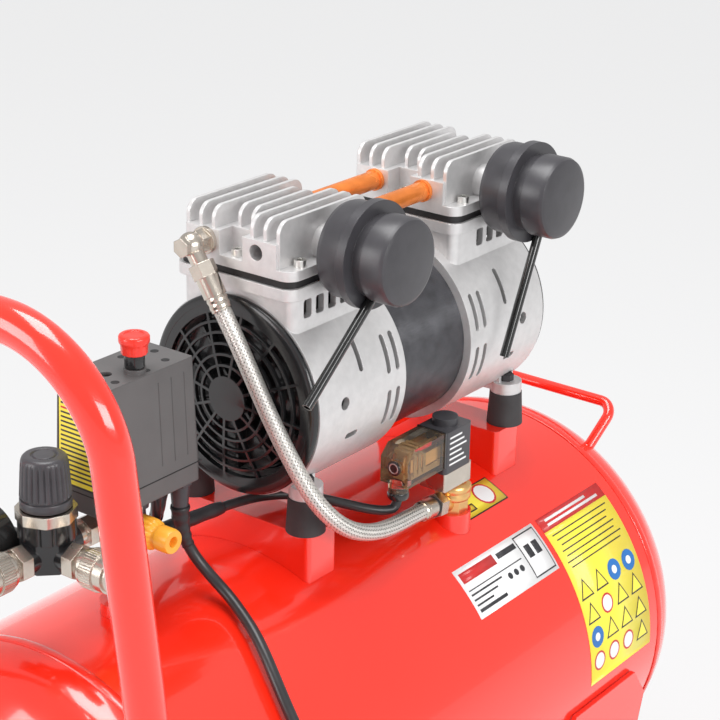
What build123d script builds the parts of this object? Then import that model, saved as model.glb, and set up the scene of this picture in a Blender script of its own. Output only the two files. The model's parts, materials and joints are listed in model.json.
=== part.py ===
from build123d import *
import os
from math import asin, cos, degrees, pi, radians, sin, sqrt, tan

# Oil-free air compressor: a two-cylinder pump on a lying tank with a carrying handle, wheels and feet.
# Millimetres. +X runs along the tank from the handle to the wheels, +Z is up, and the floor is z = 0.
# While it is modelled, x = 0 is the middle of the tank; the last step centres the whole machine on x = 0.

# ---------------------------------------------------------------- driving dimensions

# Tank
tank_radius = 160.0
tank_wall = 2.5
shell_length = 526.0
head_depth = 80.0
ground_clearance = 70.0
head_skirt = 12.0

# Handles
handle_tube = 25.0
handle_tube_wall = 2.0
handle_width = 280.0
handle_height = 655.0
handle_bend = 71.0
handle_top_x = -347.0
handle_lean = 0.124
handle_foot_z = 248.0
rear_handle_rod = 9.0
rear_handle_width = 154.0
rear_handle_reach = 312.0
rear_handle_z = 395.0

# Wheels and feet
wheel_diameter = 160.0
wheel_width = 34.0
wheel_x = 175.0
axle_diameter = 14.0
axle_clearance = 0.05
leg_plate = 4.0
wheel_gap = 4.0
foot_x = -185.0
foot_spacing = 220.0
foot_diameter = 40.0
foot_height = 24.0

# Pump
pump_x = 60.8
pump_z = 507.3
barrel_radius = 73.0
barrel_wall = 5.0
stator_radius = 66.5
stator_bore = 38.0
stator_showing = 80.0
spigot = 8.0
crankcase_end = 136.5
cylinder_spacing = 188.0
head_length = 96.0
head_width = 104.0
head_corner = 10.0
neck_top = 78.7
collar_height = 8.4
valve_plate_thickness = 5.6
plate_inset = 2.0
head_plate_thickness = 7.0
head_block_height = 17.0
fin_top = 131.7
fin_pitch = 11.2
fin_thickness = 3.0
fin_count = 8
port_spacing = 43.6
port_z = 108.0
bore_radius = 30.0
liner_wall = 3.0
stroke = 12.0
shaft_radius = 8.5
running_gap = 0.05
fan_radius = 56.0
fan_cover_radius = 66.0
fan_cover_depth = 4.5
fan_cover_dome = 6.5
fan_cover_rim = 6.5
fan_cover_hub = 16.0
foot_pitch = 247.5
foot_pitch_across = 102.0
rubber_foot_height = 26.0

# Filters
filter_start = -58.0
filter_lip = -86.0
filter_neck_end = -93.0
filter_end = -112.5
filter_radius = 33.5
filter_neck_radius = 28.0
filter_cap_radius = 30.0
snorkel_radius = 3.4
snorkel_y = -89.5

# Pressure switch and manifold
switch_x = -185.5
switch_y = -2.0
switch_length = 81.0
switch_width = 42.0
switch_bottom = 475.5
switch_split = 488.7
switch_top = 562.0
switch_draft = 2.5
manifold_x = -194.0
manifold_z = 459.5
manifold_size = 24.0
regulator_x = -257.0
pipe_radius = 6.5

# Check valve and unloader
check_x = 87.0
check_y = -71.0
check_z = 392.0

# Hose and cables
hose_radius = 6.0
cable_radius = 4.0
lead_radius = 3.5
cord_coil_turn = 88.0

# ---------------------------------------------------------------- derived places

tank_z = ground_clearance + tank_radius
shell_end = shell_length / 2
tank_inner = tank_radius - tank_wall
tank_top = tank_z + tank_radius
wheel_radius = wheel_diameter / 2
wheel_y = tank_radius + leg_plate + wheel_gap + wheel_width / 2
cylinder_u = cylinder_spacing / 2
head_inner_u = cylinder_u - head_length / 2
head_outer_u = cylinder_u + head_length / 2
collar_top = neck_top + collar_height
plate_top = collar_top + valve_plate_thickness
head_plate_top = plate_top + head_plate_thickness
block_top = head_plate_top + head_block_height
crankcase_start = stator_showing / 2
throw = stroke / 2
pump_bottom = tank_top + 25.5
pump_foot_top = pump_bottom + rubber_foot_height
port_y = port_spacing / 2
bolt_y = head_width / 2 - 6.0

# ---------------------------------------------------------------- fittings and clearances

# Tank fittings
bung_radius = 14.0
bung_bore = 8.0
drain_x = -60.0
drain_stem = 4.0

# Pump saddles and feet
saddle_outer = 8.0
saddle_inner = 24.0
saddle_half_width = 60.0
saddle_plate = 3.0
pad_height = 9.0
stud_radius = 3.0

# Inside the pump
partition_u = 60.0
bearing_radius = 17.5
bearing_width = 10.0
liner_radius = bore_radius + liner_wall
liner_bottom = 58.0

# Head fittings
neck_inset = 3.0
bolt_shank = 2.5
bolt_reach = 7.0
bolt_inset_u = 31.5
fin_corner = 9.0
block_half_width = 39.3
transfer_radius = 7.0
tube_seat = 6.0

# Filters
filter_boss_radius = 13.0
filter_nipple_radius = 8.0
cap_seat = 26.0
cap_start = filter_neck_end - 0.4

# Moving parts
stack_half = crankcase_start + spigot
eccentric_radius = 16.0
rod_width = 12.0
big_end_radius = 23.0
piston_thickness = 10.0
piston_gap = 1.0
piston_radius = bore_radius - throw - 0.5

# Switch, its knob and its glands
knob_x = -188.5
knob_y = -13.0
knob_stem = 3.0
knob_travel = 6.0
knob_collar = 3.0
gland_radius = 6.0
gland_places = ((-150.0, -14.0), (-168.0, 5.0), (-150.0, 8.0))
gland_end = 455.0

# Manifold, regulator, gauge and outlets
arm_radius = 7.5
safety_thread = 6.0
safety_stem = 3.0
safety_z = manifold_z - 4.0
regulator_body_radius = 17.0
skirt_bottom = 470.0
ring_bottom = 482.5
ring_top = 490.0
regulator_drop = 9.5
regulator_stem = 4.0
grip_height = 28.5
spindle_half = 2.5
gauge_y = 40.0
gauge_z = manifold_z
gauge_radius = 25.0
gauge_front = regulator_x - 31.0
gauge_back = regulator_x - 10.0
pointer_radius = 1.5
coupler_start = regulator_body_radius + 5
coupler_bore = 4.0
sleeve_bore = 9.0
sleeve_travel = 4.0

# Unloader valve
unloader_bottom = 408.0
unloader_top = 423.0
coil_top = 456.0
coil_y = -70.0
plug_gland = (19.0, coil_y, 417.5)

# Cables
motor_entry_u = 88.8
motor_entry_angle = 40.0
motor_entry_depth = 3.0
coil_centre = (-97.0, -127.5)


# ---------------------------------------------------------------- shape helpers

def block(x, y, z):
    """A box between the pairs of limits x, y and z."""
    size = (x[1] - x[0], y[1] - y[0], z[1] - z[0])
    return Pos((x[0] + x[1]) / 2, (y[0] + y[1]) / 2, (z[0] + z[1]) / 2) * Box(*size)


def rod_x(radius, x, y=0.0, z=0.0):
    """A cylinder along X between the pair of limits x."""
    return Pos((x[0] + x[1]) / 2, y, z) * Rot(0, 90, 0) * Cylinder(radius, x[1] - x[0])


def rod_y(radius, y, x=0.0, z=0.0):
    """A cylinder along Y between the pair of limits y."""
    return Pos(x, (y[0] + y[1]) / 2, z) * Rot(90, 0, 0) * Cylinder(radius, y[1] - y[0])


def rod_z(radius, z, x=0.0, y=0.0):
    """A cylinder along Z between the pair of limits z."""
    return Pos(x, y, (z[0] + z[1]) / 2) * Cylinder(radius, z[1] - z[0])


def hexagon(flats, depth, place):
    """A hexagonal prism, its lower face at the location given, growing along its Z."""
    return place * extrude(RegularPolygon(flats / 2, 6, major_radius=False), depth)


def plate(x, y, z, corner):
    """A flat plate with rounded upright corners."""
    sketch = RectangleRounded(x[1] - x[0], y[1] - y[0], corner)
    return Pos((x[0] + x[1]) / 2, (y[0] + y[1]) / 2, z[0]) * extrude(sketch, z[1] - z[0])


def smooth_path(points, show=None):
    """Straight runs joined by tangent arcs, each as large as its two runs allow."""
    corners = [Vector(*p) for p in points]
    radii = []
    for before, here, after in zip(corners, corners[1:], corners[2:]):
        half_turn = radians((here - before).get_angle(after - here)) / 2
        radii.append(0.45 * min((here - before).length, (after - here).length) / tan(half_turn))
    if show:
        print(show, "arc radii", [round(r) for r in radii])
    return FilletPolyline(*corners, radius=radii)


def swept(path, radius, bore=0.0):
    """A round bar, or a tube where a bore is given, along a path."""
    start = Plane(origin=path @ 0, z_dir=path % 0)
    bar = sweep(start * Circle(radius), path=path)
    if bore:
        bar = bar - sweep(start * Circle(bore), path=path)
    return bar


def mirrored(shape):
    """The same part for the pump's other end."""
    return shape.mirror(Plane.YZ)


def pair(shape):
    """The part at both ends of the pump, as two solids."""
    return [shape, mirrored(shape)]


def on_pump(shapes):
    """Moves parts from the pump's own frame, centred on its shaft, to their place."""
    place = Pos(pump_x, 0, pump_z)
    if isinstance(shapes, list):
        return [place * shape for shape in shapes]
    return place * shapes


# ---------------------------------------------------------------- tank and running gear


def head_arc(depth, radius):
    """A quarter ellipse from the head's crown, on the X axis, up to its rim."""
    return EllipticalCenterArc((0, 0), depth, radius, start_angle=0, arc_size=90)


def tank_solid():
    """The tank's outside as one solid, used to fit what is welded to it."""
    arc = head_arc(head_depth, tank_radius)
    half = Pos(shell_end, 0, 0) * arc
    outline = Line((0, 0), (shell_end + head_depth, 0)) + half
    outline += Line((shell_end, tank_radius), (0, tank_radius))
    outline += Line((0, tank_radius), (0, 0))
    solid = revolve(make_face(outline), axis=Axis.X)
    return Pos(0, 0, tank_z) * (solid + solid.mirror(Plane.YZ))


def tank_shell():
    shell = rod_x(tank_radius, (-shell_end, shell_end), z=tank_z)
    shell -= rod_x(tank_inner, (-shell_end, shell_end), z=tank_z)
    shell -= rod_z(bung_radius, (tank_z, tank_top + 5), manifold_x)
    shell -= rod_z(bung_radius, (tank_z, tank_top + 5), check_x, check_y)
    return shell - rod_z(bung_radius, (0, tank_z), drain_x)


def tank_head(side):
    """A dished head: an elliptical dome with a skirt that slips into the shell."""
    shallow = head_depth - tank_wall
    outline = head_arc(head_depth, tank_radius)
    outline += Polyline((0, tank_radius), (0, tank_inner), (-head_skirt, tank_inner),
                        (-head_skirt, tank_inner - tank_wall), (0, tank_inner - tank_wall))
    outline += head_arc(shallow, tank_inner - tank_wall)
    outline += Line((shallow, 0), (head_depth, 0))
    head = Pos(shell_end, 0, 0) * revolve(make_face(outline), axis=Axis.X)
    return Pos(0, 0, tank_z) * (head if side > 0 else head.mirror(Plane.YZ))


def front_handle():
    """A bent tube, leaning outwards, with its feet cut to the curve of the tank's front head."""
    half = handle_width / 2
    foot_x_at = handle_top_x + handle_lean * (handle_height - handle_foot_z)
    top_left = (handle_top_x, half, handle_height)
    top_right = (handle_top_x, -half, handle_height)
    line = [(foot_x_at, half, handle_foot_z), top_left, top_right, (foot_x_at, -half, handle_foot_z)]
    path = FilletPolyline(*line, radius=handle_bend)
    tube = swept(path, handle_tube / 2, handle_tube / 2 - handle_tube_wall)
    return tube - tank_solid()


def rear_handle():
    """A bent rod welded to the crown of the shell, just before the rear seam."""
    half = rear_handle_width / 2
    foot = (rear_handle_reach - 42.0, half - 8.0, rear_handle_z - 42.0)
    corner = (rear_handle_reach, half, rear_handle_z)
    line = [foot, corner, (corner[0], -corner[1], corner[2]), (foot[0], -foot[1], foot[2])]
    rod = swept(FilletPolyline(*line, radius=12.0), rear_handle_rod / 2)
    return rod - tank_solid()


def tank_bungs():
    riser = rod_z(bung_radius, (tank_top - 22, tank_top + 9), manifold_x)
    riser -= rod_z(pipe_radius, (tank_z, tank_top + 20), manifold_x)
    outlet = rod_z(bung_radius, (check_z - 36, check_z - 10), check_x, check_y)
    outlet -= rod_z(bung_bore, (tank_z, check_z), check_x, check_y)
    drain = rod_z(bung_radius, (ground_clearance - 8, ground_clearance + 12), drain_x)
    drain -= rod_z(bung_bore, (0, tank_z), drain_x)
    return [riser, outlet, drain]


def wheel_bracket(side):
    """A plate standing on the tank's side, ribbed at its edges, that carries one wheel bolt."""
    inner = side * tank_radius
    outer = side * (tank_radius + leg_plate)
    top = tank_z - 14.0
    profile = Polyline(
        (wheel_x - 62, top - 26), (wheel_x - 44, top), (wheel_x + 44, top), (wheel_x + 62, top - 26),
        (wheel_x + 22, wheel_radius - 22), (wheel_x - 22, wheel_radius - 22), close=True)
    face = Plane.XZ * make_face(profile)
    web = Pos(0, max(inner, outer), 0) * extrude(face, leg_plate)
    shelf_y = sorted([side * (tank_radius - 70), inner])
    shelf = block((wheel_x - 30, wheel_x + 30), shelf_y, (wheel_radius + 24, wheel_radius + 28))
    leg = web + shelf - tank_solid()
    leg -= rod_y(axle_diameter / 2, (-300, 300), wheel_x, wheel_radius)
    return max(leg.solids(), key=lambda solid: solid.volume)


def foot_bracket(side):
    """A bent strip from the tank's underside down to one rubber foot."""
    y = side * foot_spacing / 2
    base = block((foot_x - 26, foot_x + 26), (y - 24, y + 24), (foot_height, foot_height + leg_plate))
    upright_y = sorted([y - side * 24, y - side * (24 - leg_plate)])
    upright = block((foot_x - 26, foot_x + 26), upright_y, (foot_height, tank_z))
    outer_y = sorted([y + side * 24, y + side * (24 - leg_plate)])
    lip = block((foot_x - 26, foot_x + 26), outer_y, (foot_height, tank_z - 60))
    leg = base + upright + lip - tank_solid()
    leg -= rod_z(4.0, (0, tank_z), foot_x, y)
    return max(leg.solids(), key=lambda solid: solid.volume)


def leg_brackets():
    return [wheel_bracket(1), wheel_bracket(-1), foot_bracket(1), foot_bracket(-1)]


def front_feet():
    feet = []
    for side in (1, -1):
        y = side * foot_spacing / 2
        pad = Pos(foot_x, y, foot_height / 2) * Cone(foot_diameter / 2, foot_diameter / 2 - 4, foot_height)
        pad -= rod_z(8.0, (0, 6), foot_x, y)
        pad += rod_z(4.0, (foot_height - 1, foot_height + leg_plate), foot_x, y)
        pad += rod_z(8.0, (foot_height + leg_plate, foot_height + leg_plate + 4), foot_x, y)
        feet.append(pad)
    return feet


def wheel_axles():
    """A shouldered bolt for each wheel, with its head outside and a nut inside the bracket."""
    bolts = []
    for side in (1, -1):
        ends = sorted([side * (tank_radius - 14), side * (wheel_y + wheel_width / 2 + 1)])
        shoulder = rod_y(axle_diameter / 2, ends,
                         wheel_x, wheel_radius)
        head_y = sorted([side * (wheel_y + wheel_width / 2 + 1), side * (wheel_y + wheel_width / 2 + 7)])
        head = rod_y(12.0, head_y, wheel_x, wheel_radius)
        turn = -90 if side > 0 else 90
        nut_place = Pos(wheel_x, side * (tank_radius - 12), wheel_radius) * Rot(turn, 0, 0)
        nut = hexagon(22.0, 12.0, nut_place) - rod_y(axle_diameter / 2, (-300, 300), wheel_x, wheel_radius)
        bolts += [shoulder + head, nut]
    return bolts


def wheel(side):
    """A spoked plastic hub and the solid tyre moulded round it."""
    low = side * wheel_y - wheel_width / 2
    high = side * wheel_y + wheel_width / 2
    rim_radius = wheel_radius - 20
    bore = rod_y(axle_diameter / 2 + axle_clearance, (low, high))
    rim = rod_y(rim_radius, (low + 3, high - 3)) - rod_y(rim_radius - 5, (low, high))
    web = rod_y(rim_radius - 4, (side * wheel_y - 4, side * wheel_y + 4))
    for turn in range(5):
        angle = radians(72 * turn + 90)
        web -= rod_y(11.0, (low, high), 37 * cos(angle), 37 * sin(angle))
    hub = rim + web + rod_y(16.0, (low, high)) - bore
    tyre = rod_y(wheel_radius, (low, high)) - rod_y(rim_radius, (low, high))
    tyre = fillet(tyre.edges().filter_by(GeomType.CIRCLE).sort_by(SortBy.RADIUS)[-2:], 7.0)
    return [Pos(wheel_x, 0, wheel_radius) * hub, Pos(wheel_x, 0, wheel_radius) * tyre]


def drain_valve():
    place = Pos(drain_x, 0, ground_clearance - 8) * Rot(180, 0, 0)
    body = rod_z(bung_bore, (ground_clearance - 8, ground_clearance + 8), drain_x)
    body += hexagon(19.0, 12.0, place)
    body -= rod_z(drain_stem + running_gap, (0, ground_clearance - 10), drain_x)
    return body


def drain_screw():
    """The thumb screw under the tank, turned to let the water out."""
    stem = rod_z(drain_stem, (ground_clearance - 30, ground_clearance - 12), drain_x)
    grip = rod_z(9.0, (ground_clearance - 34, ground_clearance - 26), drain_x)
    for turn in range(6):
        angle = radians(60 * turn)
        grip -= rod_z(2.6, (0, ground_clearance), drain_x + 10 * cos(angle), 10 * sin(angle))
    return stem + grip


# ---------------------------------------------------------------- pump saddle


def pump_brackets():
    """Two inverted channels cut to the tank's curve, and the flat strip that ties them under the pump."""
    saddles = []
    for side in (-1, 1):
        foot = pump_x + side * foot_pitch / 2
        x = sorted([foot + side * saddle_outer, foot - side * saddle_inner])
        outer = plate(x, (-saddle_half_width, saddle_half_width), (tank_z + 60, pump_bottom), 4.0)
        inner_x = (x[0] + saddle_plate, x[1] - saddle_plate)
        inner_y = (-saddle_half_width + saddle_plate, saddle_half_width - saddle_plate)
        channel = outer - block(inner_x, inner_y, (tank_z, pump_bottom - saddle_plate)) - tank_solid()
        for y in (-foot_pitch_across / 2, foot_pitch_across / 2):
            channel -= rod_z(stud_radius, (tank_z, pump_bottom + 1), foot, y)
        saddles.append(channel)
    reach = foot_pitch / 2 - saddle_inner
    saddles.append(block((pump_x - reach, pump_x + reach), (14, 34), (pump_bottom - 4, pump_bottom)))
    return saddles


def pump_feet():
    """Four rubber mounts with a stud and nut through the crankcase pads."""
    feet = []
    for side in (-1, 1):
        for y in (-foot_pitch_across / 2, foot_pitch_across / 2):
            x = pump_x + side * foot_pitch / 2
            middle = (pump_bottom + pump_foot_top) / 2
            rubber = Pos(x, y, middle) * Cone(14.0, 12.5, rubber_foot_height)
            stud = rod_z(stud_radius, (pump_bottom - saddle_plate, pump_foot_top + pad_height + 6), x, y)
            nut = hexagon(10.0, 5.0, Pos(x, y, pump_foot_top + pad_height))
            feet.append(rubber + stud + nut)
    return feet


# ---------------------------------------------------------------- pump casing, in the pump's own frame


def curved_slot(u, from_angle, to_angle, side):
    """A cooling slot cut through the barrel, running round it at one place along the shaft."""
    middle = (from_angle + to_angle) / 2
    span = radians(to_angle - from_angle) * barrel_radius
    slot = extrude(SlotOverall(span, 4.4), barrel_wall * 4, both=True)
    slot = Pos(0, 0, barrel_radius) * Rot(0, 0, 90) * slot
    slot = Rot(side * (90 - middle), 0, 0) * slot
    return Pos(u, 0, 0) * slot


def crankcase():
    """One casting: the barrel round the motor's end, the neck, the collar, a bearing wall and two legs."""
    outside = rod_x(barrel_radius, (crankcase_start, crankcase_end))
    neck_x = (head_inner_u + neck_inset, crankcase_end)
    neck_y = (-head_width / 2 + neck_inset, head_width / 2 - neck_inset)
    outside += plate(neck_x, neck_y, (0, neck_top), head_corner - neck_inset)
    outside += plate((head_inner_u, head_outer_u), (-head_width / 2, head_width / 2), (neck_top, collar_top),
                     head_corner)
    pad_z = (pump_foot_top - pump_z, pump_foot_top - pump_z + pad_height)
    feet_u = foot_pitch / 2
    for y in (-foot_pitch_across / 2, foot_pitch_across / 2):
        outside += rod_z(12.0, pad_z, feet_u, y)
        web_y = sorted([y, y * 0.5])
        outside += block((feet_u - 10, feet_u + 9), web_y, (pad_z[0] + 2, pad_z[1] + 8))
    cavity = rod_x(barrel_radius - barrel_wall, (partition_u + 6, crankcase_end - 4))
    cavity += rod_x(fan_cover_radius - fan_cover_rim, (crankcase_end - 5, crankcase_end))
    cavity += rod_x(stator_radius, (crankcase_start, crankcase_start + spigot))
    cavity += rod_x(stator_radius - 3, (crankcase_start, partition_u))
    cavity += block((neck_x[0] + 6, neck_x[1] - 6), (neck_y[0] + 5, neck_y[1] - 5), (20, neck_top - 4))
    cavity += rod_z(liner_radius, (20, collar_top), cylinder_u)
    boss = rod_x(bearing_radius + 6, (partition_u, partition_u + bearing_width + 6))
    case = outside - cavity + boss
    case -= rod_x(bearing_radius, (partition_u + 6, partition_u + bearing_width + 6))
    case -= rod_x(shaft_radius + 3, (partition_u, partition_u + 6))
    for turn in range(6):
        angle = radians(60 * turn)
        case -= rod_x(12.0, (partition_u, partition_u + 6), 42 * cos(angle), 42 * sin(angle))
    for side in (-1, 1):
        for u, low, high in ((49, 8, 30), (59, 8, 30), (49, -24, -2), (59, -24, -2), (88, 16, 38)):
            case -= curved_slot(u, low, high, side)
        case -= rod_y(4.5, sorted([0, side * 80]), 109, 3.5)
        case -= Pos(97, side * 60, -24) * Rot(90, 0, 0) * extrude(SlotOverall(13, 4.4), 12, both=True)
        for step in range(4):
            slot = extrude(RectangleRounded(8.5, 13.0, 2.0), 12, both=True)
            case -= Pos(81.5 + 13.1 * step, side * neck_y[1], 69.7) * Rot(90, 0, 0) * slot
    for y in (-foot_pitch_across / 2, foot_pitch_across / 2):
        case -= rod_z(stud_radius, (-90, -40), feet_u, y)
        case -= rod_z(7.0, (pad_z[1], pad_z[1] + 7.0), feet_u, y)
    for u, y in bolt_places():
        case -= rod_z(bolt_shank, (collar_top - bolt_reach, collar_top), u, y)
    return max(case.solids(), key=lambda solid: solid.volume)


def bolt_places():
    """Four corner bolts, and one at the middle of each end."""
    corners = [(cylinder_u + i * bolt_inset_u, j * bolt_y) for i in (-1, 1) for j in (-1, 1)]
    return corners + [(head_outer_u - 7.0, 0.0), (head_inner_u + 7.0, 0.0)]


def cylinder_liner():
    liner = rod_z(liner_radius, (liner_bottom, collar_top), cylinder_u)
    return liner - rod_z(bore_radius, (liner_bottom, collar_top), cylinder_u)


def valve_plate():
    half = head_width / 2 - plate_inset
    sheet = plate((head_inner_u + plate_inset, head_outer_u - plate_inset), (-half, half),
                  (collar_top, plate_top), head_corner)
    for side in (-1, 1):
        for step in (-1, 0, 1):
            sheet -= rod_z(3.0, (collar_top, plate_top), cylinder_u + 10 * step, side * 12)
    for u, y in bolt_places():
        sheet -= rod_z(bolt_shank, (collar_top, plate_top), u, y)
    return sheet


def fin(y, x, low):
    """A cooling fin standing along the head, rounded at its two top corners."""
    length = x[1] - x[0]
    height = fin_top - low
    face = Rectangle(length, height)
    face = fillet(face.vertices().group_by(Axis.Y)[-1], fin_corner)
    centre = ((x[0] + x[1]) / 2, y + fin_thickness / 2, low + height / 2)
    place = Plane(origin=centre, x_dir=(1, 0, 0), z_dir=(0, -1, 0))
    return extrude(place * face, fin_thickness)


def cylinder_head():
    """The finned head: a flange, a block with two chambers and four ports, and eight fins."""
    x = (head_inner_u + 2.0, head_outer_u - 2.0)
    flange = plate((head_inner_u, head_outer_u), (-head_width / 2, head_width / 2), (plate_top, head_plate_top),
                   head_corner)
    body = flange + block((head_inner_u, head_outer_u), (-block_half_width, block_half_width),
                          (plate_top, block_top))
    for side in (-1, 1):
        ends = (head_outer_u - 14.0, head_outer_u)
        for end in (ends, (head_inner_u, head_inner_u + 14.0)):
            body -= block(end, (-10, 10), (head_plate_top, fin_top))
        middle_low = sorted([side * 5.0, side * 35.0])
        body -= block((head_inner_u + 16, head_outer_u - 16), middle_low, (plate_top, block_top - 4))
    for index in range(fin_count):
        y = (index - (fin_count - 1) / 2) * fin_pitch
        outermost = index in (0, fin_count - 1)
        short = 14.0 if abs(y) < 10 else 0.0
        body += fin(y, (x[0] + short, x[1] - short), head_plate_top if outermost else block_top)
    for side in (-1, 1):
        y = side * port_y
        body -= rod_x(5.5, (head_outer_u - 20, head_outer_u), y, port_z)
        body -= rod_x(5.5, (head_inner_u, head_inner_u + 20), y, port_z)
        body -= rod_x(transfer_radius, (head_inner_u, head_inner_u + tube_seat), y, port_z)
    inlet_wall = (-block_half_width - fin_thickness / 2 - 8.0, -30.0)
    body += rod_y(filter_boss_radius, (inlet_wall[0], -block_half_width), cylinder_u, port_z)
    body -= rod_y(filter_nipple_radius, inlet_wall, cylinder_u, port_z)
    for u, y in bolt_places():
        body -= rod_z(bolt_shank, (plate_top, head_plate_top), u, y)
    return body


def head_bolts():
    """Six socket-head bolts for each head."""
    bolts = []
    for u, y in bolt_places():
        bolt = rod_z(bolt_shank, (collar_top - bolt_reach, head_plate_top), u, y)
        bolt += rod_z(4.25, (head_plate_top, head_plate_top + 5.0), u, y)
        bolt -= hexagon(4.0, 3.0, Pos(u, y, head_plate_top + 2.0))
        bolts += pair(bolt)
    return bolts


def transfer_tubes():
    """Two copper tubes that join the heads, beaded where they meet them."""
    tubes = []
    reach = head_inner_u + tube_seat
    for side in (-1, 1):
        y = side * port_y
        tube = rod_x(transfer_radius, (-reach, reach), y, port_z)
        for end in (-1, 1):
            bead = sorted([end * (head_inner_u - 3.0), end * head_inner_u])
            tube += rod_x(transfer_radius + 1.2, bead, y, port_z)
        tube -= rod_x(transfer_radius - 1.5, (-reach, reach), y, port_z)
        tubes.append(tube)
    return tubes


# ---------------------------------------------------------------- motor and running parts


def stator():
    """The laminated ring and a wound coil head at each end of it."""
    ring = rod_x(stator_radius, (-stack_half, stack_half)) - rod_x(stator_bore, (-stack_half, stack_half))
    coil = rod_x(57.0, (stack_half, partition_u - 2)) - rod_x(stator_bore + 3, (stack_half, partition_u - 2))
    return [ring] + pair(coil)


def rotor():
    """The rotor core and its shaft with an eccentric for each piston, set half a turn apart."""
    core = rod_x(stator_bore - 0.5, (-stack_half, stack_half))
    shaft = rod_x(shaft_radius, (-crankcase_end + 1, crankcase_end - 1))
    near = rod_x(eccentric_radius, (-cylinder_u - rod_width / 2, -cylinder_u + rod_width / 2), z=throw)
    far = rod_x(eccentric_radius, (cylinder_u - rod_width / 2, cylinder_u + rod_width / 2), z=-throw)
    return core + shaft + near + far


def connecting_rod(side):
    """A wobble piston: the big end, the rod and the piston disc in one piece."""
    lift = -side * throw
    u = side * cylinder_u
    x = (u - rod_width / 2, u + rod_width / 2)
    top = collar_top - piston_gap - throw + lift
    body = rod_x(big_end_radius, x, z=lift)
    body += block((u - 5, u + 5), (-9, 9), (lift + 10, top - piston_thickness))
    body += rod_z(piston_radius, (top - piston_thickness, top), u)
    return body - rod_x(eccentric_radius + running_gap, x, z=lift)


def bearing():
    """A ball bearing pressed in the crankcase wall, drawn as one ring."""
    u = (partition_u + 6, partition_u + 6 + bearing_width)
    return rod_x(bearing_radius, u) - rod_x(shaft_radius + running_gap, u)


def fan():
    """A ten-bladed cooling fan on the shaft's end."""
    u = (126.5, 137.0)
    hub = rod_x(15.0, u)
    backing = rod_x(fan_radius, (u[0], u[0] + 2.0))
    wheel_body = hub + backing
    for turn in range(10):
        blade = block((u[0] + 1, u[1]), (-1.2, 1.2), (12.0, fan_radius - 1))
        wheel_body += Rot(36 * turn, 0, 0) * blade
    return wheel_body - rod_x(shaft_radius, u)


def fan_cover():
    """The round grille over the fan: a rim, and a shallow dome of rings and spokes with a plain centre."""
    rim_inner = fan_cover_radius - fan_cover_rim
    front = crankcase_end + fan_cover_depth
    top = front + fan_cover_dome
    skin = 3.0
    rim = rod_x(fan_cover_radius, (crankcase_end, front)) - rod_x(rim_inner, (crankcase_end, front))
    shoulder = (front + fan_cover_dome * 0.6, rim_inner * 0.65)
    outline = [(front, rim_inner + 1), shoulder, (top, fan_cover_hub), (top, 0)]
    outline += [(x - skin, radius) for x, radius in reversed(outline)]
    dome = revolve(make_face(Polyline(*outline, close=True)), axis=Axis.X)
    reach = (front - skin, top)
    bars = rod_x(fan_cover_hub, reach)
    for ring in range(5):
        radius = fan_cover_hub + 7.5 + 7.5 * ring
        bars += rod_x(radius + 0.9, reach) - rod_x(radius - 0.9, reach)
    for turn in range(12):
        bars += Rot(30 * turn + 8, 0, 0) * block(reach, (-1.0, 1.0), (fan_cover_hub - 1, rim_inner + 1))
    return rim + (dome & bars)


# ---------------------------------------------------------------- inlet filters


def turned_y(points, place):
    """A solid of revolution about Y from (radius, y) points."""
    face = make_face(Polyline(*points, close=True))
    return place * revolve(Plane.XY * face, axis=Axis.Y)


def filter_place(side):
    return Pos(side * cylinder_u, 0, port_z)


def filter_housing(side):
    """The black canister with its nipple, the wide lip and the neck that the cap turns on."""
    back = filter_start
    seat_end = filter_neck_end - 8
    outline = [
        (0, back), (filter_radius - 5, back), (filter_radius - 1.5, back - 2), (filter_radius, back - 6),
        (filter_radius, filter_lip + 8), (filter_radius + 3.5, filter_lip + 7), (filter_radius + 3.5, filter_lip),
        (filter_neck_radius, filter_lip), (filter_neck_radius, filter_neck_end), (cap_seat, filter_neck_end),
        (cap_seat, seat_end), (cap_seat - 2, seat_end), (cap_seat - 2, filter_lip + 2),
        (filter_radius - 3, filter_lip + 2), (filter_radius - 3, back - 4), (0, back - 4)]
    housing = turned_y(outline, filter_place(side))
    housing += rod_y(filter_nipple_radius, (back - 1, -block_half_width - 1), side * cylinder_u, port_z)
    housing += hexagon(20.0, 5.5, Pos(side * cylinder_u, back + 5.0, port_z) * Rot(90, 0, 0))
    housing -= rod_y(5.0, (back - 5, 0), side * cylinder_u, port_z)
    return housing - snorkel_bar(side, snorkel_radius - 1.0)


def filter_cap(side):
    """The round lid that twists off the canister."""
    outline = [
        (0, filter_end), (filter_cap_radius - 4, filter_end), (filter_cap_radius - 1.2, filter_end + 1.2),
        (filter_cap_radius, filter_end + 4), (filter_cap_radius, cap_start), (cap_seat + running_gap, cap_start),
        (cap_seat + running_gap, filter_end + 3), (0, filter_end + 3)]
    return turned_y(outline, filter_place(side))


def snorkel_ends(side):
    """The top and the open end of the inlet tube, in the pump's frame."""
    if side < 0:
        return Vector(-98.8, snorkel_y, 85.7), Vector(-171.3, snorkel_y, 25.2)
    return Vector(101.9, snorkel_y, 84.7), Vector(59.2, snorkel_y, -8.8)


def snorkel_bar(side, radius):
    top, tip = snorkel_ends(side)
    return Solid.make_cylinder(radius, (tip - top).length, Plane(origin=top, z_dir=tip - top))


def snorkel(side):
    """A straight inlet tube, its upper end cut to the curve of the canister's neck."""
    tube = snorkel_bar(side, snorkel_radius) - snorkel_bar(side, snorkel_radius - 1.0)
    return tube - rod_y(filter_neck_radius, (filter_neck_end, filter_lip), side * cylinder_u, port_z)


# ---------------------------------------------------------------- pressure switch


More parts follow.
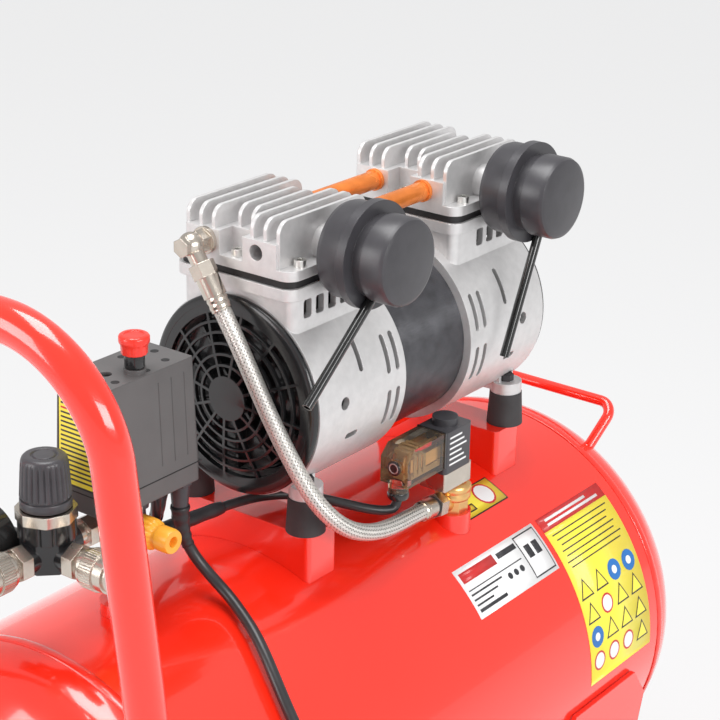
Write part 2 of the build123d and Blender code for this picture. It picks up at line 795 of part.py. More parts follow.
def switch_plan(shrink, corner):
    """The switch's outline at its seam, drawn in by an even wall."""
    spread = (switch_top - switch_split) * tan(radians(switch_draft)) - shrink
    return RectangleRounded(switch_length + 2 * spread, switch_width + 2 * spread, corner)


def switch_base():
    """The switch's lower casting, a tray with two gland seats and a pressure port."""
    tray = extrude(switch_plan(0.0, 5.0), switch_split - switch_bottom)
    tray -= Pos(0, 0, 3) * extrude(switch_plan(3.0, 2.5), switch_split - switch_bottom)
    tray = Pos(switch_x, switch_y, switch_bottom) * tray
    tray += rod_z(11.0, (switch_bottom, switch_split - 4), manifold_x)
    tray -= rod_z(pipe_radius, (switch_bottom, switch_split - 8), manifold_x)
    for x, y in gland_places:
        tray -= rod_z(gland_radius, (switch_bottom, switch_bottom + 4), x, y)
    return tray


def switch_cover():
    """The tall drafted cover, with a collar for the knob's stem."""
    cover = extrude(switch_plan(0.0, 5.0), switch_top - switch_split, taper=switch_draft)
    cover -= extrude(switch_plan(2.5, 3.5), switch_top - switch_split - 3, taper=switch_draft)
    cover = Pos(switch_x, switch_y, switch_split) * cover
    cover += rod_z(7.2, (switch_top - 1, switch_top + knob_collar), knob_x, knob_y)
    cover -= rod_z(knob_stem + running_gap, (switch_split, switch_top + knob_collar), knob_x, knob_y)
    cover -= rod_z(4.0, (switch_top - 3, switch_top), knob_x - 15, switch_y)
    return cover


def switch_knob():
    """The red pull knob, its black neck and its stem down into the switch."""
    base = switch_top + knob_collar + 0.4
    neck = rod_z(6.5, (base, base + 6), knob_x, knob_y)
    grip = Pos(knob_x, knob_y, base + 6 + 6) * Cone(8.2, 10.0, 12.0)
    crown = rod_z(10.0, (base + 18, base + 22), knob_x, knob_y)
    crown = fillet(crown.edges().group_by(Axis.Z)[-1], 1.5)
    stem = rod_z(knob_stem, (switch_top - 16, base), knob_x, knob_y)
    stop = rod_z(5.0, (switch_top - 3 - knob_travel - 4, switch_top - 3 - knob_travel - 0.5), knob_x, knob_y)
    return neck + grip + crown + stem + stop


def cable_glands():
    """Three screwed glands under the switch; a cable leaves the nose of each."""
    glands = []
    nut_bottom = switch_bottom - 5
    for x, y in gland_places:
        nut = hexagon(14.0, 5.0, Pos(x, y, nut_bottom))
        nose = Pos(x, y, (gland_end + nut_bottom) / 2) * Cone(5.6, 6.8, nut_bottom - gland_end)
        collar = rod_z(gland_radius, (switch_bottom, switch_bottom + 3), x, y)
        glands.append(nut + nose + collar)
    return glands


# ---------------------------------------------------------------- manifold, regulator, gauge and outlets


def manifold():
    """The plated cross under the switch: riser, switch port, regulator arm and safety valve port."""
    half = manifold_size / 2
    cube = block((manifold_x - half, manifold_x + half), (-half, half), (manifold_z - half, manifold_z + half))
    cube = fillet(cube.edges(), 2.0)
    pipe = rod_z(pipe_radius, (tank_top - 16, switch_split - 8), manifold_x)
    union = hexagon(20.0, 8.0, Pos(manifold_x, 0, tank_top + 14))
    arm = rod_x(arm_radius, (regulator_x + regulator_body_radius + 5, manifold_x), z=manifold_z)
    nipple = hexagon(19.0, 10.0, Pos(regulator_x + regulator_body_radius + 12, 0, manifold_z) * Rot(0, 90, 0))
    cross = cube + pipe + union + arm + nipple
    cross -= rod_z(pipe_radius - 2, (0, switch_split), manifold_x)
    cross -= rod_x(4.0, (regulator_x, manifold_x), z=manifold_z)
    cross -= rod_y(safety_thread, (-half, 0), manifold_x, safety_z)
    return cross


def safety_valve():
    """The brass relief valve screwed in the manifold's side."""
    half = manifold_size / 2
    thread = rod_y(safety_thread, (-half, -half + 10), manifold_x, safety_z)
    hexed = hexagon(17.0, 8.0, Pos(manifold_x, -half, safety_z) * Rot(90, 0, 0))
    barrel = rod_y(7.0, (-half - 16, -half - 8), manifold_x, safety_z)
    bore = rod_y(safety_stem + running_gap, (-half - 20, -half - 4), manifold_x, safety_z)
    return thread + hexed + barrel - bore


def safety_cap():
    """The orange pull cap, ringed for grip, on a stem in the relief valve."""
    half = manifold_size / 2
    start = -half - 16.4
    outline = [
        (0, start), (9.5, start), (10.5, start - 1), (10.5, start - 5), (9.0, start - 6), (9.0, start - 9),
        (10.5, start - 10), (10.5, start - 14), (9.0, start - 15), (9.0, start - 18), (7.0, start - 20),
        (0, start - 20)]
    cap = turned_y(outline, Pos(manifold_x, 0, safety_z))
    stem = rod_y(safety_stem, (start, -half - 6), manifold_x, safety_z)
    return cap + stem


def regulator_body():
    """The black body: a round block with four ports and the fluted bonnet above it."""
    low = manifold_z - regulator_drop
    eight = RegularPolygon(regulator_body_radius, 8, major_radius=False)
    body = Pos(regulator_x, 0, low) * Rot(0, 0, 22.5) * extrude(eight, skirt_bottom + 0.5 - low)
    bonnet = rod_z(18.5, (skirt_bottom, ring_bottom), regulator_x)
    for turn in range(12):
        angle = radians(30 * turn)
        x = regulator_x + 19.2 * cos(angle)
        bonnet -= rod_z(1.8, (skirt_bottom, ring_bottom), x, 19.2 * sin(angle))
    neck = rod_z(12.0, (ring_bottom, ring_top + 3), regulator_x)
    body += bonnet + neck
    for turn in (0, 90, 180, 270):
        port = rod_x(9.5, (0, regulator_body_radius + 5), z=0)
        body += Pos(regulator_x, 0, manifold_z) * Rot(0, 0, turn) * port
    body -= rod_x(arm_radius, (regulator_x + regulator_body_radius + 5, regulator_x + 60), z=manifold_z)
    bore = rod_x(4.0, (regulator_x - 40, regulator_x + 40), z=manifold_z)
    body -= bore + rod_y(4.0, (-40, 40), regulator_x, manifold_z)
    body -= rod_z(regulator_stem + running_gap, (manifold_z + 5, ring_top + 3), regulator_x)
    return body


def regulator_nut():
    """The plated panel ring screwed on the bonnet's neck."""
    ring = extrude(RegularPolygon(20.0, 8), ring_top - ring_bottom)
    ring = Pos(regulator_x, 0, ring_bottom) * ring
    ring = ring & rod_z(19.6, (ring_bottom, ring_top), regulator_x)
    return ring - rod_z(12.0, (ring_bottom, ring_top), regulator_x)


def regulator_screw():
    """The pressure screw: a round stem in the bonnet with a square top that drives the knob."""
    stem = rod_z(regulator_stem, (manifold_z + 10, ring_top + 3.4), regulator_x)
    square = (-spindle_half, spindle_half)
    x = (regulator_x - spindle_half, regulator_x + spindle_half)
    return stem + block(x, square, (ring_top + 3.4, ring_top + 24))


def regulator_knob():
    """The fluted knob, hollow over the neck, with a square socket on the pressure screw."""
    base = ring_top + 0.5
    skirt = rod_z(16.6, (base, base + 6), regulator_x)
    grip = Pos(regulator_x, 0, base + 6 + grip_height / 2) * Cone(16.6, 14.2, grip_height)
    grip = fillet(grip.edges().group_by(Axis.Z)[-1], 2.5)
    for turn in range(18):
        angle = radians(20 * turn)
        x = regulator_x + 17.0 * cos(angle)
        grip -= rod_z(1.1, (base + 8, base + grip_height - 1), x, 17.0 * sin(angle))
    knob = skirt + grip - rod_z(13.0, (base, ring_top + 9), regulator_x)
    gap = spindle_half + running_gap
    socket = block((regulator_x - gap, regulator_x + gap), (-gap, gap), (base, ring_top + 31))
    return knob - socket


def gauge_case():
    """The black case with its back stem and the elbow to the regulator."""
    case = rod_x(gauge_radius, (gauge_front, gauge_back), gauge_y, gauge_z)
    case -= rod_x(gauge_radius - 2, (gauge_front, gauge_front + 8), gauge_y, gauge_z)
    case -= rod_x(pointer_radius + running_gap, (gauge_front, gauge_front + 12), gauge_y, gauge_z)
    stem = rod_x(5.5, (gauge_back - 1, regulator_x), gauge_y, gauge_z)
    elbow = rod_y(5.5, (regulator_body_radius + 5, gauge_y + 5.5), regulator_x, manifold_z)
    elbow += hexagon(13.0, 3.5, Pos(gauge_back - 0.5, gauge_y, gauge_z) * Rot(0, 90, 0))
    return case + stem + elbow


def gauge_dial():
    """The printed plate behind the pointer."""
    x = (gauge_front + 7.2, gauge_front + 8)
    disc = rod_x(gauge_radius - 2, x, gauge_y, gauge_z)
    return disc - rod_x(pointer_radius + running_gap, x, gauge_y, gauge_z)


def gauge_needle():
    """The pointer on its spindle, at rest on the scale's low end."""
    x = (gauge_front + 5, gauge_front + 6.2)
    spindle = rod_x(pointer_radius, (gauge_front + 5, gauge_front + 11), gauge_y, gauge_z)
    blade = block(x, (-0.9, 0.9), (-5.0, 18.0))
    boss = rod_x(3.0, x)
    return spindle + Pos(0, gauge_y, gauge_z) * Rot(-135, 0, 0) * (blade + boss)


def gauge_lens():
    return rod_x(gauge_radius - 2, (gauge_front, gauge_front + 2), gauge_y, gauge_z)


def outlet(part):
    """Places a coupler part, drawn along +X from the regulator's port, on the two outlets."""
    front = Pos(regulator_x, 0, manifold_z) * Rot(0, 0, 180) * part
    side = Pos(regulator_x, 0, manifold_z) * Rot(0, 0, -90) * part
    return [front, side]


def coupler_bodies():
    """The hexagon, barrel and stop ring of a quick coupler, on both outlets."""
    start = coupler_start
    body = hexagon(21.0, 9.0, Pos(start, 0, 0) * Rot(0, 90, 0))
    body += rod_x(sleeve_bore - running_gap, (start + 9, start + 36))
    body += rod_x(sleeve_bore + 1.5, (start + 34, start + 36))
    body -= rod_x(coupler_bore, (start, start + 36)) + rod_x(6.0, (start + 14, start + 36))
    return outlet(body)


def coupler_sleeve(index):
    """The knurled sleeve that slides back to free the plug."""
    start = coupler_start + 9 + sleeve_travel + 0.5
    end = coupler_start + 34
    sleeve = rod_x(12.0, (start, end)) + rod_x(13.0, (start + 3, start + 13))
    sleeve -= rod_x(sleeve_bore, (start, end))
    return outlet(sleeve)[index]


# ---------------------------------------------------------------- check valve, unloader and delivery hose

hose_points = (
    (-96.0, 7.0, 594.0), (-96.0, -1.5, 580.5), (-96.0, -11.5, 566.0), (-96.0, -23.0, 548.0), (-96.0, -36.0, 526.3),
    (-95.5, -48.6, 505.0), (-94.0, -60.5, 485.4), (-90.5, -70.6, 467.0), (-83.5, -78.0, 450.0),
    (-70.0, -82.5, 433.5), (-52.0, -84.0, 420.0), (-29.0, -83.5, 410.0), (-4.0, -81.0, 404.0),
    (21.0, -77.0, 400.0), (45.0, -73.6, 396.3), (60.0, -71.9, 393.6))


def check_valve():
    """The brass check valve: thread, hexagon, hose branch and the neck under the unloader."""
    low = check_z - 10
    body = rod_z(bung_bore, (low - 18, low), check_x, check_y)
    body += hexagon(20.0, 10.0, Pos(check_x, check_y, low))
    body += rod_z(10.5, (low + 10, low + 22), check_x, check_y)
    end = hose_end()
    branch_length = (Vector(check_x, check_y, check_z - 2) - end[0]).length
    body += Solid.make_cylinder(8.0, branch_length, Plane(origin=end[0], z_dir=end[1]))
    body += rod_z(6.0, (low + 22, unloader_bottom), check_x, check_y)
    return body - rod_z(4.0, (low - 18, low + 16), check_x, check_y)


def hose_end():
    """Where the hose nut meets the check valve, and the direction towards the valve."""
    last = Vector(*hose_points[-1])
    heading = (last - Vector(*hose_points[-2])).normalized()
    return last + heading * 10.0, heading


def solenoid_valve():
    """The plated valve block on the check valve's neck."""
    solid = block((check_x - 28, check_x + 6), (coil_y - 13, coil_y + 11), (unloader_bottom, unloader_top))
    return fillet(solid.edges().filter_by(Axis.Z), 2.0)


def solenoid_coil():
    """The black coil in its yoke, with the round nut on top."""
    solid = block((check_x - 30, check_x + 3), (coil_y - 14, coil_y + 12), (unloader_top, coil_top))
    solid = fillet(solid.edges().filter_by(Axis.Z), 3.0)
    return solid + rod_z(9.5, (coil_top - 1, coil_top + 6), check_x - 13.5, coil_y - 1)


def solenoid_plug():
    """The clear connector on the coil's side and its cable gland."""
    x = (check_x - 75, check_x - 30)
    solid = block(x, (coil_y - 13, coil_y + 11), (428.0, coil_top))
    solid = chamfer(solid.edges().filter_by(Axis.Y).group_by(Axis.X)[0].group_by(Axis.Z)[-1], 8.0)
    return solid + rod_z(7.5, (plug_gland[2], 429.0), plug_gland[0], plug_gland[1])


def delivery_hose():
    """The steel-braided hose from the front head down to the check valve."""
    return swept(smooth_path(hose_points, "hose"), hose_radius, 3.0)


def hose_fittings():
    """The banjo union on the head with the hose's upper ferrule, and the nut at the check valve."""
    face_x = pump_x - head_outer_u
    eye = Vector(hose_points[0][0], port_y, pump_z + port_z)
    banjo = rod_x(9.5, (face_x - 3, face_x), eye.Y, eye.Z) + rod_x(5.5, (eye.X, face_x + 10), eye.Y, eye.Z)
    banjo += hexagon(15.0, 9.0, Pos(face_x - 11, eye.Y, eye.Z) * Rot(0, 90, 0))
    banjo += Pos(eye) * Sphere(8.8)
    banjo += hexagon(12.0, 6.0, Pos(eye.X - 10.5, eye.Y, eye.Z) * Rot(0, 90, 0))
    first = Vector(*hose_points[0])
    heading = (Vector(*hose_points[1]) - first).normalized()
    banjo += Solid.make_cylinder(6.0, (first - eye).length - 1, Plane(origin=eye, z_dir=first - eye))
    banjo += hexagon(16.0, 10.0, Plane(origin=first - heading * 12, z_dir=heading).location)
    banjo += Solid.make_cylinder(8.0, 15.0, Plane(origin=first - heading * 3.0, z_dir=heading))
    end, aim = hose_end()
    last = Vector(*hose_points[-1])
    lower = hexagon(17.0, 10.5, Plane(origin=last - aim * 0.5, z_dir=aim).location)
    lower += Solid.make_cylinder(7.6, 16.0, Plane(origin=last - aim * 15.0, z_dir=aim))
    hose = swept(smooth_path(hose_points), hose_radius)
    return [banjo - hose, lower - hose]


# ---------------------------------------------------------------- cables

solenoid_lead_points = (
    (-168.0, 5.0, 455.0), (-168.0, 5.0, 441.0), (-153.0, 6.0, 430.0), (-126.0, 6.0, 427.0), (-100.0, 4.0, 426.0),
    (-78.0, 0.0, 426.0), (-58.0, -5.0, 425.0), (-40.0, -14.0, 423.0), (-25.0, -28.0, 419.5), (-14.0, -43.0, 415.5),
    (-3.0, -57.0, 411.0), (9.0, -67.0, 407.5), (18.0, -70.0, 408.5), (19.0, -70.0, 417.5))
motor_lead_points = (
    (-150.0, 8.0, 455.0), (-150.0, 8.0, 441.0), (-140.0, 18.0, 431.0), (-122.0, 33.0, 427.5), (-102.0, 48.0, 428.0),
    (-83.0, 63.0, 434.0), (-64.0, 75.0, 440.0), (-44.0, 77.0, 443.0))
power_cord_points = (
    (-150.0, -14.0, 455.0), (-150.0, -14.0, 438.0), (-145.0, -19.0, 420.0), (-140.0, -30.0, 405.0),
    (-138.5, -45.5, 394.0), (-143.0, -62.0, 387.0), (-149.0, -78.0, 380.5), (-155.0, -92.0, 372.0),
    (-161.0, -106.0, 361.0), (-166.0, -120.0, 347.5), (-169.5, -137.0, 328.5), (-171.0, -154.0, 299.0),
    (-170.0, -167.0, 259.0), (-167.0, -175.0, 215.0), (-162.0, -181.0, 168.0), (-155.0, -188.0, 122.0),
    (-146.0, -196.0, 80.0), (-138.0, -201.0, 44.0), (-122.0, -198.0, 18.0), (-98.0, -185.0, 6.0),
    (-72.0, -168.0, 4.0))


def motor_entry(depth):
    """A point on the line by which the motor lead enters the barrel, this deep in its wall, in the pump's frame."""
    reach = barrel_radius - depth
    angle = radians(motor_entry_angle)
    return Vector(-motor_entry_u, reach * cos(angle), -reach * sin(angle))


def motor_lead():
    """The lead whose last run goes straight through the barrel's wall."""
    place = Vector(pump_x, 0, pump_z)
    turn_in = motor_entry(-16.0) + place
    end = motor_entry(motor_entry_depth) + place
    route = motor_lead_points + (tuple(turn_in), tuple(end))
    return swept(smooth_path(route, "motor lead"), lead_radius)


def motor_entry_hole():
    outer, inner = motor_entry(-10.0), motor_entry(motor_entry_depth)
    return Solid.make_cylinder(lead_radius, (inner - outer).length, Plane(origin=outer, z_dir=inner - outer))


def switch_leads():
    """The leads to the unloader and to the motor."""
    return [swept(smooth_path(solenoid_lead_points, "unloader lead"), lead_radius),
            motor_lead()]


def power_cord():
    return swept(smooth_path(power_cord_points, "power cord"), cable_radius)


def power_cord_coil():
    """The outer shape of the coiled rest of the cord: a thick ring, two turns wide and three layers high."""
    outer = cord_coil_turn / 2 + 2 * cable_radius
    inner = cord_coil_turn / 2 - 2 * cable_radius
    ring = rod_z(outer, (0, 6 * cable_radius), *coil_centre) - rod_z(inner, (0, 6 * cable_radius), *coil_centre)
    return ring


def power_plug():
    """A generic plug lying on the floor beside the coil."""
    x = coil_centre[0] + cord_coil_turn / 2 + 2 * cable_radius + 0.2
    y = coil_centre[1]
    body = plate((x, x + 34), (y - 18, y + 18), (0.0, 26.0), 6.0)
    for side in (-1, 1):
        body += rod_x(2.4, (x + 34, x + 53), y + side * 9.5, 13.0)
    return body


# ---------------------------------------------------------------- the whole machine

parts = {
    "tank_shell": tank_shell(),
    "tank_heads": [tank_head(-1), tank_head(1)],
    "front_handle": front_handle(),
    "rear_handle": rear_handle(),
    "tank_bungs": tank_bungs(),
    "leg_brackets": leg_brackets(),
    "front_feet": front_feet(),
    "wheel_axles": wheel_axles(),
    "wheel_left": wheel(1),
    "wheel_right": wheel(-1),
    "drain_valve": drain_valve(),
    "drain_screw": drain_screw(),
    "pump_brackets": pump_brackets(),
    "pump_feet": pump_feet(),
    "crankcase_front": on_pump(mirrored(crankcase()) - motor_entry_hole()),
    "crankcase_rear": on_pump(crankcase()),
    "cylinder_liners": on_pump(pair(cylinder_liner())),
    "valve_plates": on_pump(pair(valve_plate())),
    "cylinder_heads": on_pump(pair(cylinder_head())),
    "head_bolts": on_pump(head_bolts()),
    "transfer_tubes": on_pump(transfer_tubes()),
    "stator": on_pump(stator()),
    "rotor": on_pump(rotor()),
    "main_bearings": on_pump(pair(bearing())),
    "connecting_rod_front": on_pump(connecting_rod(-1)),
    "connecting_rod_rear": on_pump(connecting_rod(1)),
    "cooling_fans": on_pump(pair(fan())),
    "fan_covers": on_pump(pair(fan_cover())),
    "filter_housings": on_pump([filter_housing(-1), filter_housing(1)]),
    "filter_cap_front": on_pump(filter_cap(-1)),
    "filter_cap_rear": on_pump(filter_cap(1)),
    "snorkels": on_pump([snorkel(-1), snorkel(1)]),
    "switch_base": switch_base(),
    "switch_cover": switch_cover(),
    "switch_knob": switch_knob(),
    "cable_glands": cable_glands(),
    "manifold": manifold(),
    "safety_valve": safety_valve(),
    "safety_cap": safety_cap(),
    "regulator_body": regulator_body(),
    "regulator_nut": regulator_nut(),
    "regulator_screw": regulator_screw(),
    "regulator_knob": regulator_knob(),
    "gauge_case": gauge_case(),
    "gauge_dial": gauge_dial(),
    "gauge_needle": gauge_needle(),
    "gauge_lens": gauge_lens(),
    "coupler_bodies": coupler_bodies(),
    "coupler_sleeve_front": coupler_sleeve(0),
    "coupler_sleeve_side": coupler_sleeve(1),
    "check_valve": check_valve(),
    "solenoid_valve": solenoid_valve(),
    "solenoid_coil": solenoid_coil(),
    "solenoid_plug": solenoid_plug(),
    "delivery_hose": delivery_hose(),
    "hose_fittings": hose_fittings(),
    "switch_leads": switch_leads(),
    "power_cord": power_cord(),
    "power_cord_coil": power_cord_coil(),
    "power_plug": power_plug(),
}

free_cord = ("power_cord", "power_cord_coil", "power_plug")
solids = {}
for name, shape in parts.items():
    shapes = shape if isinstance(shape, list) else [shape]
    solids[name] = Compound(children=[solid for item in shapes for solid in item.solids()])
boxes = [solids[name].bounding_box() for name in solids if name not in free_cord]
middle = (min(box.min.X for box in boxes) + max(box.max.X for box in boxes)) / 2
print("the machine's middle is at x =", round(middle, 3))

os.makedirs("parts", exist_ok=True)
for name, solid in solids.items():
    export_step(Pos(-middle, 0, 0) * solid, f"parts/{name}.step")
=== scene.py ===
"""The looks of the air compressor: materials, hose, cables, labels, welds, knobs, light and camera."""

import json
import math

import bmesh
import bpy
from mathutils import Matrix, Vector


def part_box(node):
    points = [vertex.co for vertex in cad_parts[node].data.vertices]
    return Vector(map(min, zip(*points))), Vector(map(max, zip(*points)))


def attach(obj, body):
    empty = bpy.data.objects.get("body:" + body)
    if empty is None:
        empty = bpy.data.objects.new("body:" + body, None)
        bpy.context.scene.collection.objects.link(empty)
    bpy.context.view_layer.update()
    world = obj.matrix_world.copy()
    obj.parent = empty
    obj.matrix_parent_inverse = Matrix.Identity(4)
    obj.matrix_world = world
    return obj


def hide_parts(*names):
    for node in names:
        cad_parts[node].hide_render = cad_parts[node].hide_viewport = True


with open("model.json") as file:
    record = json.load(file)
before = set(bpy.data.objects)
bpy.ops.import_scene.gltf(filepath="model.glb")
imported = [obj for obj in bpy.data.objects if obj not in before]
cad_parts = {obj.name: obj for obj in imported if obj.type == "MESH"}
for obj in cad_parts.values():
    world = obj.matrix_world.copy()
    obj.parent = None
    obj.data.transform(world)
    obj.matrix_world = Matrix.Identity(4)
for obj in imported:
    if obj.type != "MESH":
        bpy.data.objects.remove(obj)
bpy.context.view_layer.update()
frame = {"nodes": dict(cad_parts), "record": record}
nodes = frame["nodes"]
MM = 0.001

shell_low, shell_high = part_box("tank_shell")
MIDDLE_X = (shell_low.x + shell_high.x) / 2
TANK_Z = (shell_low.z + shell_high.z) / 2
TANK_R = (shell_high.z - shell_low.z) / 2


def place(x, y, z):
    """A point given in millimetres from the middle of the tank along X, and from the floor in Z."""
    return Vector((MIDDLE_X + x * MM, y * MM, z * MM))


# ---------------------------------------------------------------- camera, floor and light

CAMERA_AT = (-1038.9, -834.8, 1035.4)
CAMERA_YAW = 37.142
CAMERA_PITCH = 21.515
CAMERA_ROLL = -1.040
CAMERA_LENS = 100.49
LIT_POINT = (0.0, 0.0, 0.4)
FLOOR_HALF = 9.0
FLOOR_DROP = 0.0005


def make_camera():
    data = bpy.data.cameras.new("camera")
    data.lens = CAMERA_LENS
    data.sensor_width = 36.0
    data.clip_end = 50.0
    camera = bpy.data.objects.new("camera", data)
    bpy.context.scene.collection.objects.link(camera)
    yaw, pitch, roll = (math.radians(a) for a in (CAMERA_YAW, CAMERA_PITCH, CAMERA_ROLL))
    forward = Vector((math.cos(yaw) * math.cos(pitch), math.sin(yaw) * math.cos(pitch), -math.sin(pitch)))
    right = Vector((math.sin(yaw), -math.cos(yaw), 0.0))
    down = forward.cross(right)
    right, down = (
        right * math.cos(roll) + down * math.sin(roll),
        down * math.cos(roll) - right * math.sin(roll),
    )
    turn = Matrix((right, -down, -forward)).transposed()
    camera.matrix_world = Matrix.Translation(place(*CAMERA_AT)) @ turn.to_4x4()
    bpy.context.scene.camera = camera


def area_light(name, at, size, power):
    """A soft box that faces the middle of the machine."""
    data = bpy.data.lights.new(name, "AREA")
    data.shape = "RECTANGLE"
    data.size, data.size_y = size
    data.energy = power
    light = bpy.data.objects.new(name, data)
    light.location = Vector(at)
    light.rotation_euler = (Vector(LIT_POINT) - Vector(at)).to_track_quat("-Z", "Y").to_euler()
    bpy.context.scene.collection.objects.link(light)


def make_studio():
    """A pale floor under even light, with three large soft boxes."""
    world = bpy.data.worlds.new("studio")
    bpy.context.scene.world = world
    world.use_nodes = True
    background = world.node_tree.nodes["Background"]
    background.inputs["Color"].default_value = (1.0, 1.0, 1.0, 1.0)
    background.inputs["Strength"].default_value = 0.58
    area_light("top_box", (-0.1, 0.1, 2.4), (1.3, 1.0), 34)
    area_light("left_box", (-2.2, 0.9, 1.2), (1.0, 1.4), 24)
    area_light("right_box", (-0.4, -2.4, 1.3), (1.6, 0.8), 32)
    view = bpy.context.scene.view_settings
    view.view_transform = "Standard"
    view.look = "None"
    mesh = bpy.data.meshes.new("floor")
    corners = [(x * FLOOR_HALF, y * FLOOR_HALF, 0) for x, y in ((-1, -1), (1, -1), (1, 1), (-1, 1))]
    mesh.from_pydata(corners, [], [(0, 1, 2, 3)])
    floor = bpy.data.objects.new("floor", mesh)
    floor.location.z = -FLOOR_DROP
    bpy.context.scene.collection.objects.link(floor)
    paint = surface("floor_paint", (0.20, 0.20, 0.201), 0.9, bump=(60, 0.01), specular=0.1)
    glow = paint.node_tree.nodes["Principled BSDF"]
    glow.inputs["Emission Color"].default_value = (1.0, 1.0, 1.004, 1.0)
    glow.inputs["Emission Strength"].default_value = 0.70
    mesh.materials.append(paint)


# ---------------------------------------------------------------- materials

def tree_of(name):
    """A new material, its node tree and its shader node."""
    material = bpy.data.materials.new(name)
    material.use_nodes = True
    tree = material.node_tree
    return material, tree, tree.nodes["Principled BSDF"]


def add(tree, kind, **values):
    """A new shader node, with its inputs or settings by name."""
    node = tree.nodes.new(kind)
    for key, value in values.items():
        if key in node.inputs:
            node.inputs[key].default_value = value
        else:
            setattr(node, key, value)
    return node


def noise_on(tree, scale, detail=3.0, stretch=(1.0, 1.0, 1.0)):
    """Noise fixed to the object; scale is in lumps per metre."""
    place_node = add(tree, "ShaderNodeTexCoord")
    mapping = add(tree, "ShaderNodeMapping")
    mapping.inputs["Scale"].default_value = stretch
    noise = add(tree, "ShaderNodeTexNoise")
    noise.inputs["Scale"].default_value = scale
    noise.inputs["Detail"].default_value = detail
    tree.links.new(place_node.outputs["Object"], mapping.inputs["Vector"])
    tree.links.new(mapping.outputs["Vector"], noise.inputs["Vector"])
    return noise


def ramp_on(tree, source, low, high, positions=(0.3, 0.7)):
    """A blend between two colours, driven by a source from 0 to 1."""
    ramp = add(tree, "ShaderNodeValToRGB")
    ramp.color_ramp.elements[0].position = positions[0]
    ramp.color_ramp.elements[1].position = positions[1]
    ramp.color_ramp.elements[0].color = (*low, 1.0)
    ramp.color_ramp.elements[1].color = (*high, 1.0)
    tree.links.new(source, ramp.inputs["Fac"])
    return ramp


def surface(name, colour, rough, metal=0.0, coat=0.0, bump=None, mottle=None, rough_spread=0.06,
            rounding=0.0, stretch=(1.0, 1.0, 1.0), specular=0.5):
    """A finish with fine relief, slight colour and gloss variation, and softened edges."""
    material, tree, shader = tree_of(name)
    shader.inputs["Base Color"].default_value = (*colour, 1.0)
    shader.inputs["Metallic"].default_value = metal
    shader.inputs["Coat Weight"].default_value = coat
    shader.inputs["Coat Roughness"].default_value = 0.06
    shader.inputs["Specular IOR Level"].default_value = specular
    gloss = noise_on(tree, 35.0, 4.0, stretch)
    spread = add(tree, "ShaderNodeMapRange")
    spread.inputs["To Min"].default_value = max(0.02, rough - rough_spread)
    spread.inputs["To Max"].default_value = rough + rough_spread
    tree.links.new(gloss.outputs["Fac"], spread.inputs["Value"])
    tree.links.new(spread.outputs["Result"], shader.inputs["Roughness"])
    if mottle:
        scale, amount = mottle
        patches = noise_on(tree, scale, 5.0, stretch)
        low = tuple(c * (1.0 - amount) for c in colour)
        high = tuple(min(1.0, c * (1.0 + amount)) for c in colour)
        ramp = ramp_on(tree, patches.outputs["Fac"], low, high)
        tree.links.new(ramp.outputs["Color"], shader.inputs["Base Color"])
    normal = None
    if rounding:
        soft = add(tree, "ShaderNodeBevel", samples=4)
        soft.inputs["Radius"].default_value = rounding
        normal = soft.outputs["Normal"]
    if bump:
        scale, depth = bump
        grain = noise_on(tree, scale, 2.0, stretch)
        relief = add(tree, "ShaderNodeBump")
        relief.inputs["Strength"].default_value = 0.5
        relief.inputs["Distance"].default_value = depth * MM
        tree.links.new(grain.outputs["Fac"], relief.inputs["Height"])
        if normal:
            tree.links.new(normal, relief.inputs["Normal"])
        normal = relief.outputs["Normal"]
    if normal:
        tree.links.new(normal, shader.inputs["Normal"])
    return material


def laminated(name):
    """Varnished sheet stacked along X: half-millimetre lines round the stator."""
    material = surface(name, (0.075, 0.075, 0.083), 0.30, metal=0.45, mottle=(90, 0.25), rounding=0.0004)
    tree = material.node_tree
    shader = tree.nodes["Principled BSDF"]
    coords = add(tree, "ShaderNodeTexCoord")
    waves = add(tree, "ShaderNodeTexWave", bands_direction="X")
    waves.inputs["Scale"].default_value = 260.0
    waves.inputs["Distortion"].default_value = 0.6
    relief = add(tree, "ShaderNodeBump")
    relief.inputs["Strength"].default_value = 0.8
    relief.inputs["Distance"].default_value = 0.25 * MM
    tree.links.new(coords.outputs["Object"], waves.inputs["Vector"])
    tree.links.new(waves.outputs["Fac"], relief.inputs["Height"])
    tree.links.new(relief.outputs["Normal"], shader.inputs["Normal"])
    return material


def clear(name, colour, transmission, rough=0.08):
    """A see-through finish with slightly uneven gloss."""
    material, tree, shader = tree_of(name)
    shader.inputs["Base Color"].default_value = (*colour, 1.0)
    shader.inputs["Transmission Weight"].default_value = transmission
    shader.inputs["IOR"].default_value = 1.45
    smudge = noise_on(tree, 60.0)
    spread = add(tree, "ShaderNodeMapRange")
    spread.inputs["To Min"].default_value = rough * 0.5
    spread.inputs["To Max"].default_value = rough * 2.0
    tree.links.new(smudge.outputs["Fac"], spread.inputs["Value"])
    tree.links.new(spread.outputs["Result"], shader.inputs["Roughness"])
    return material


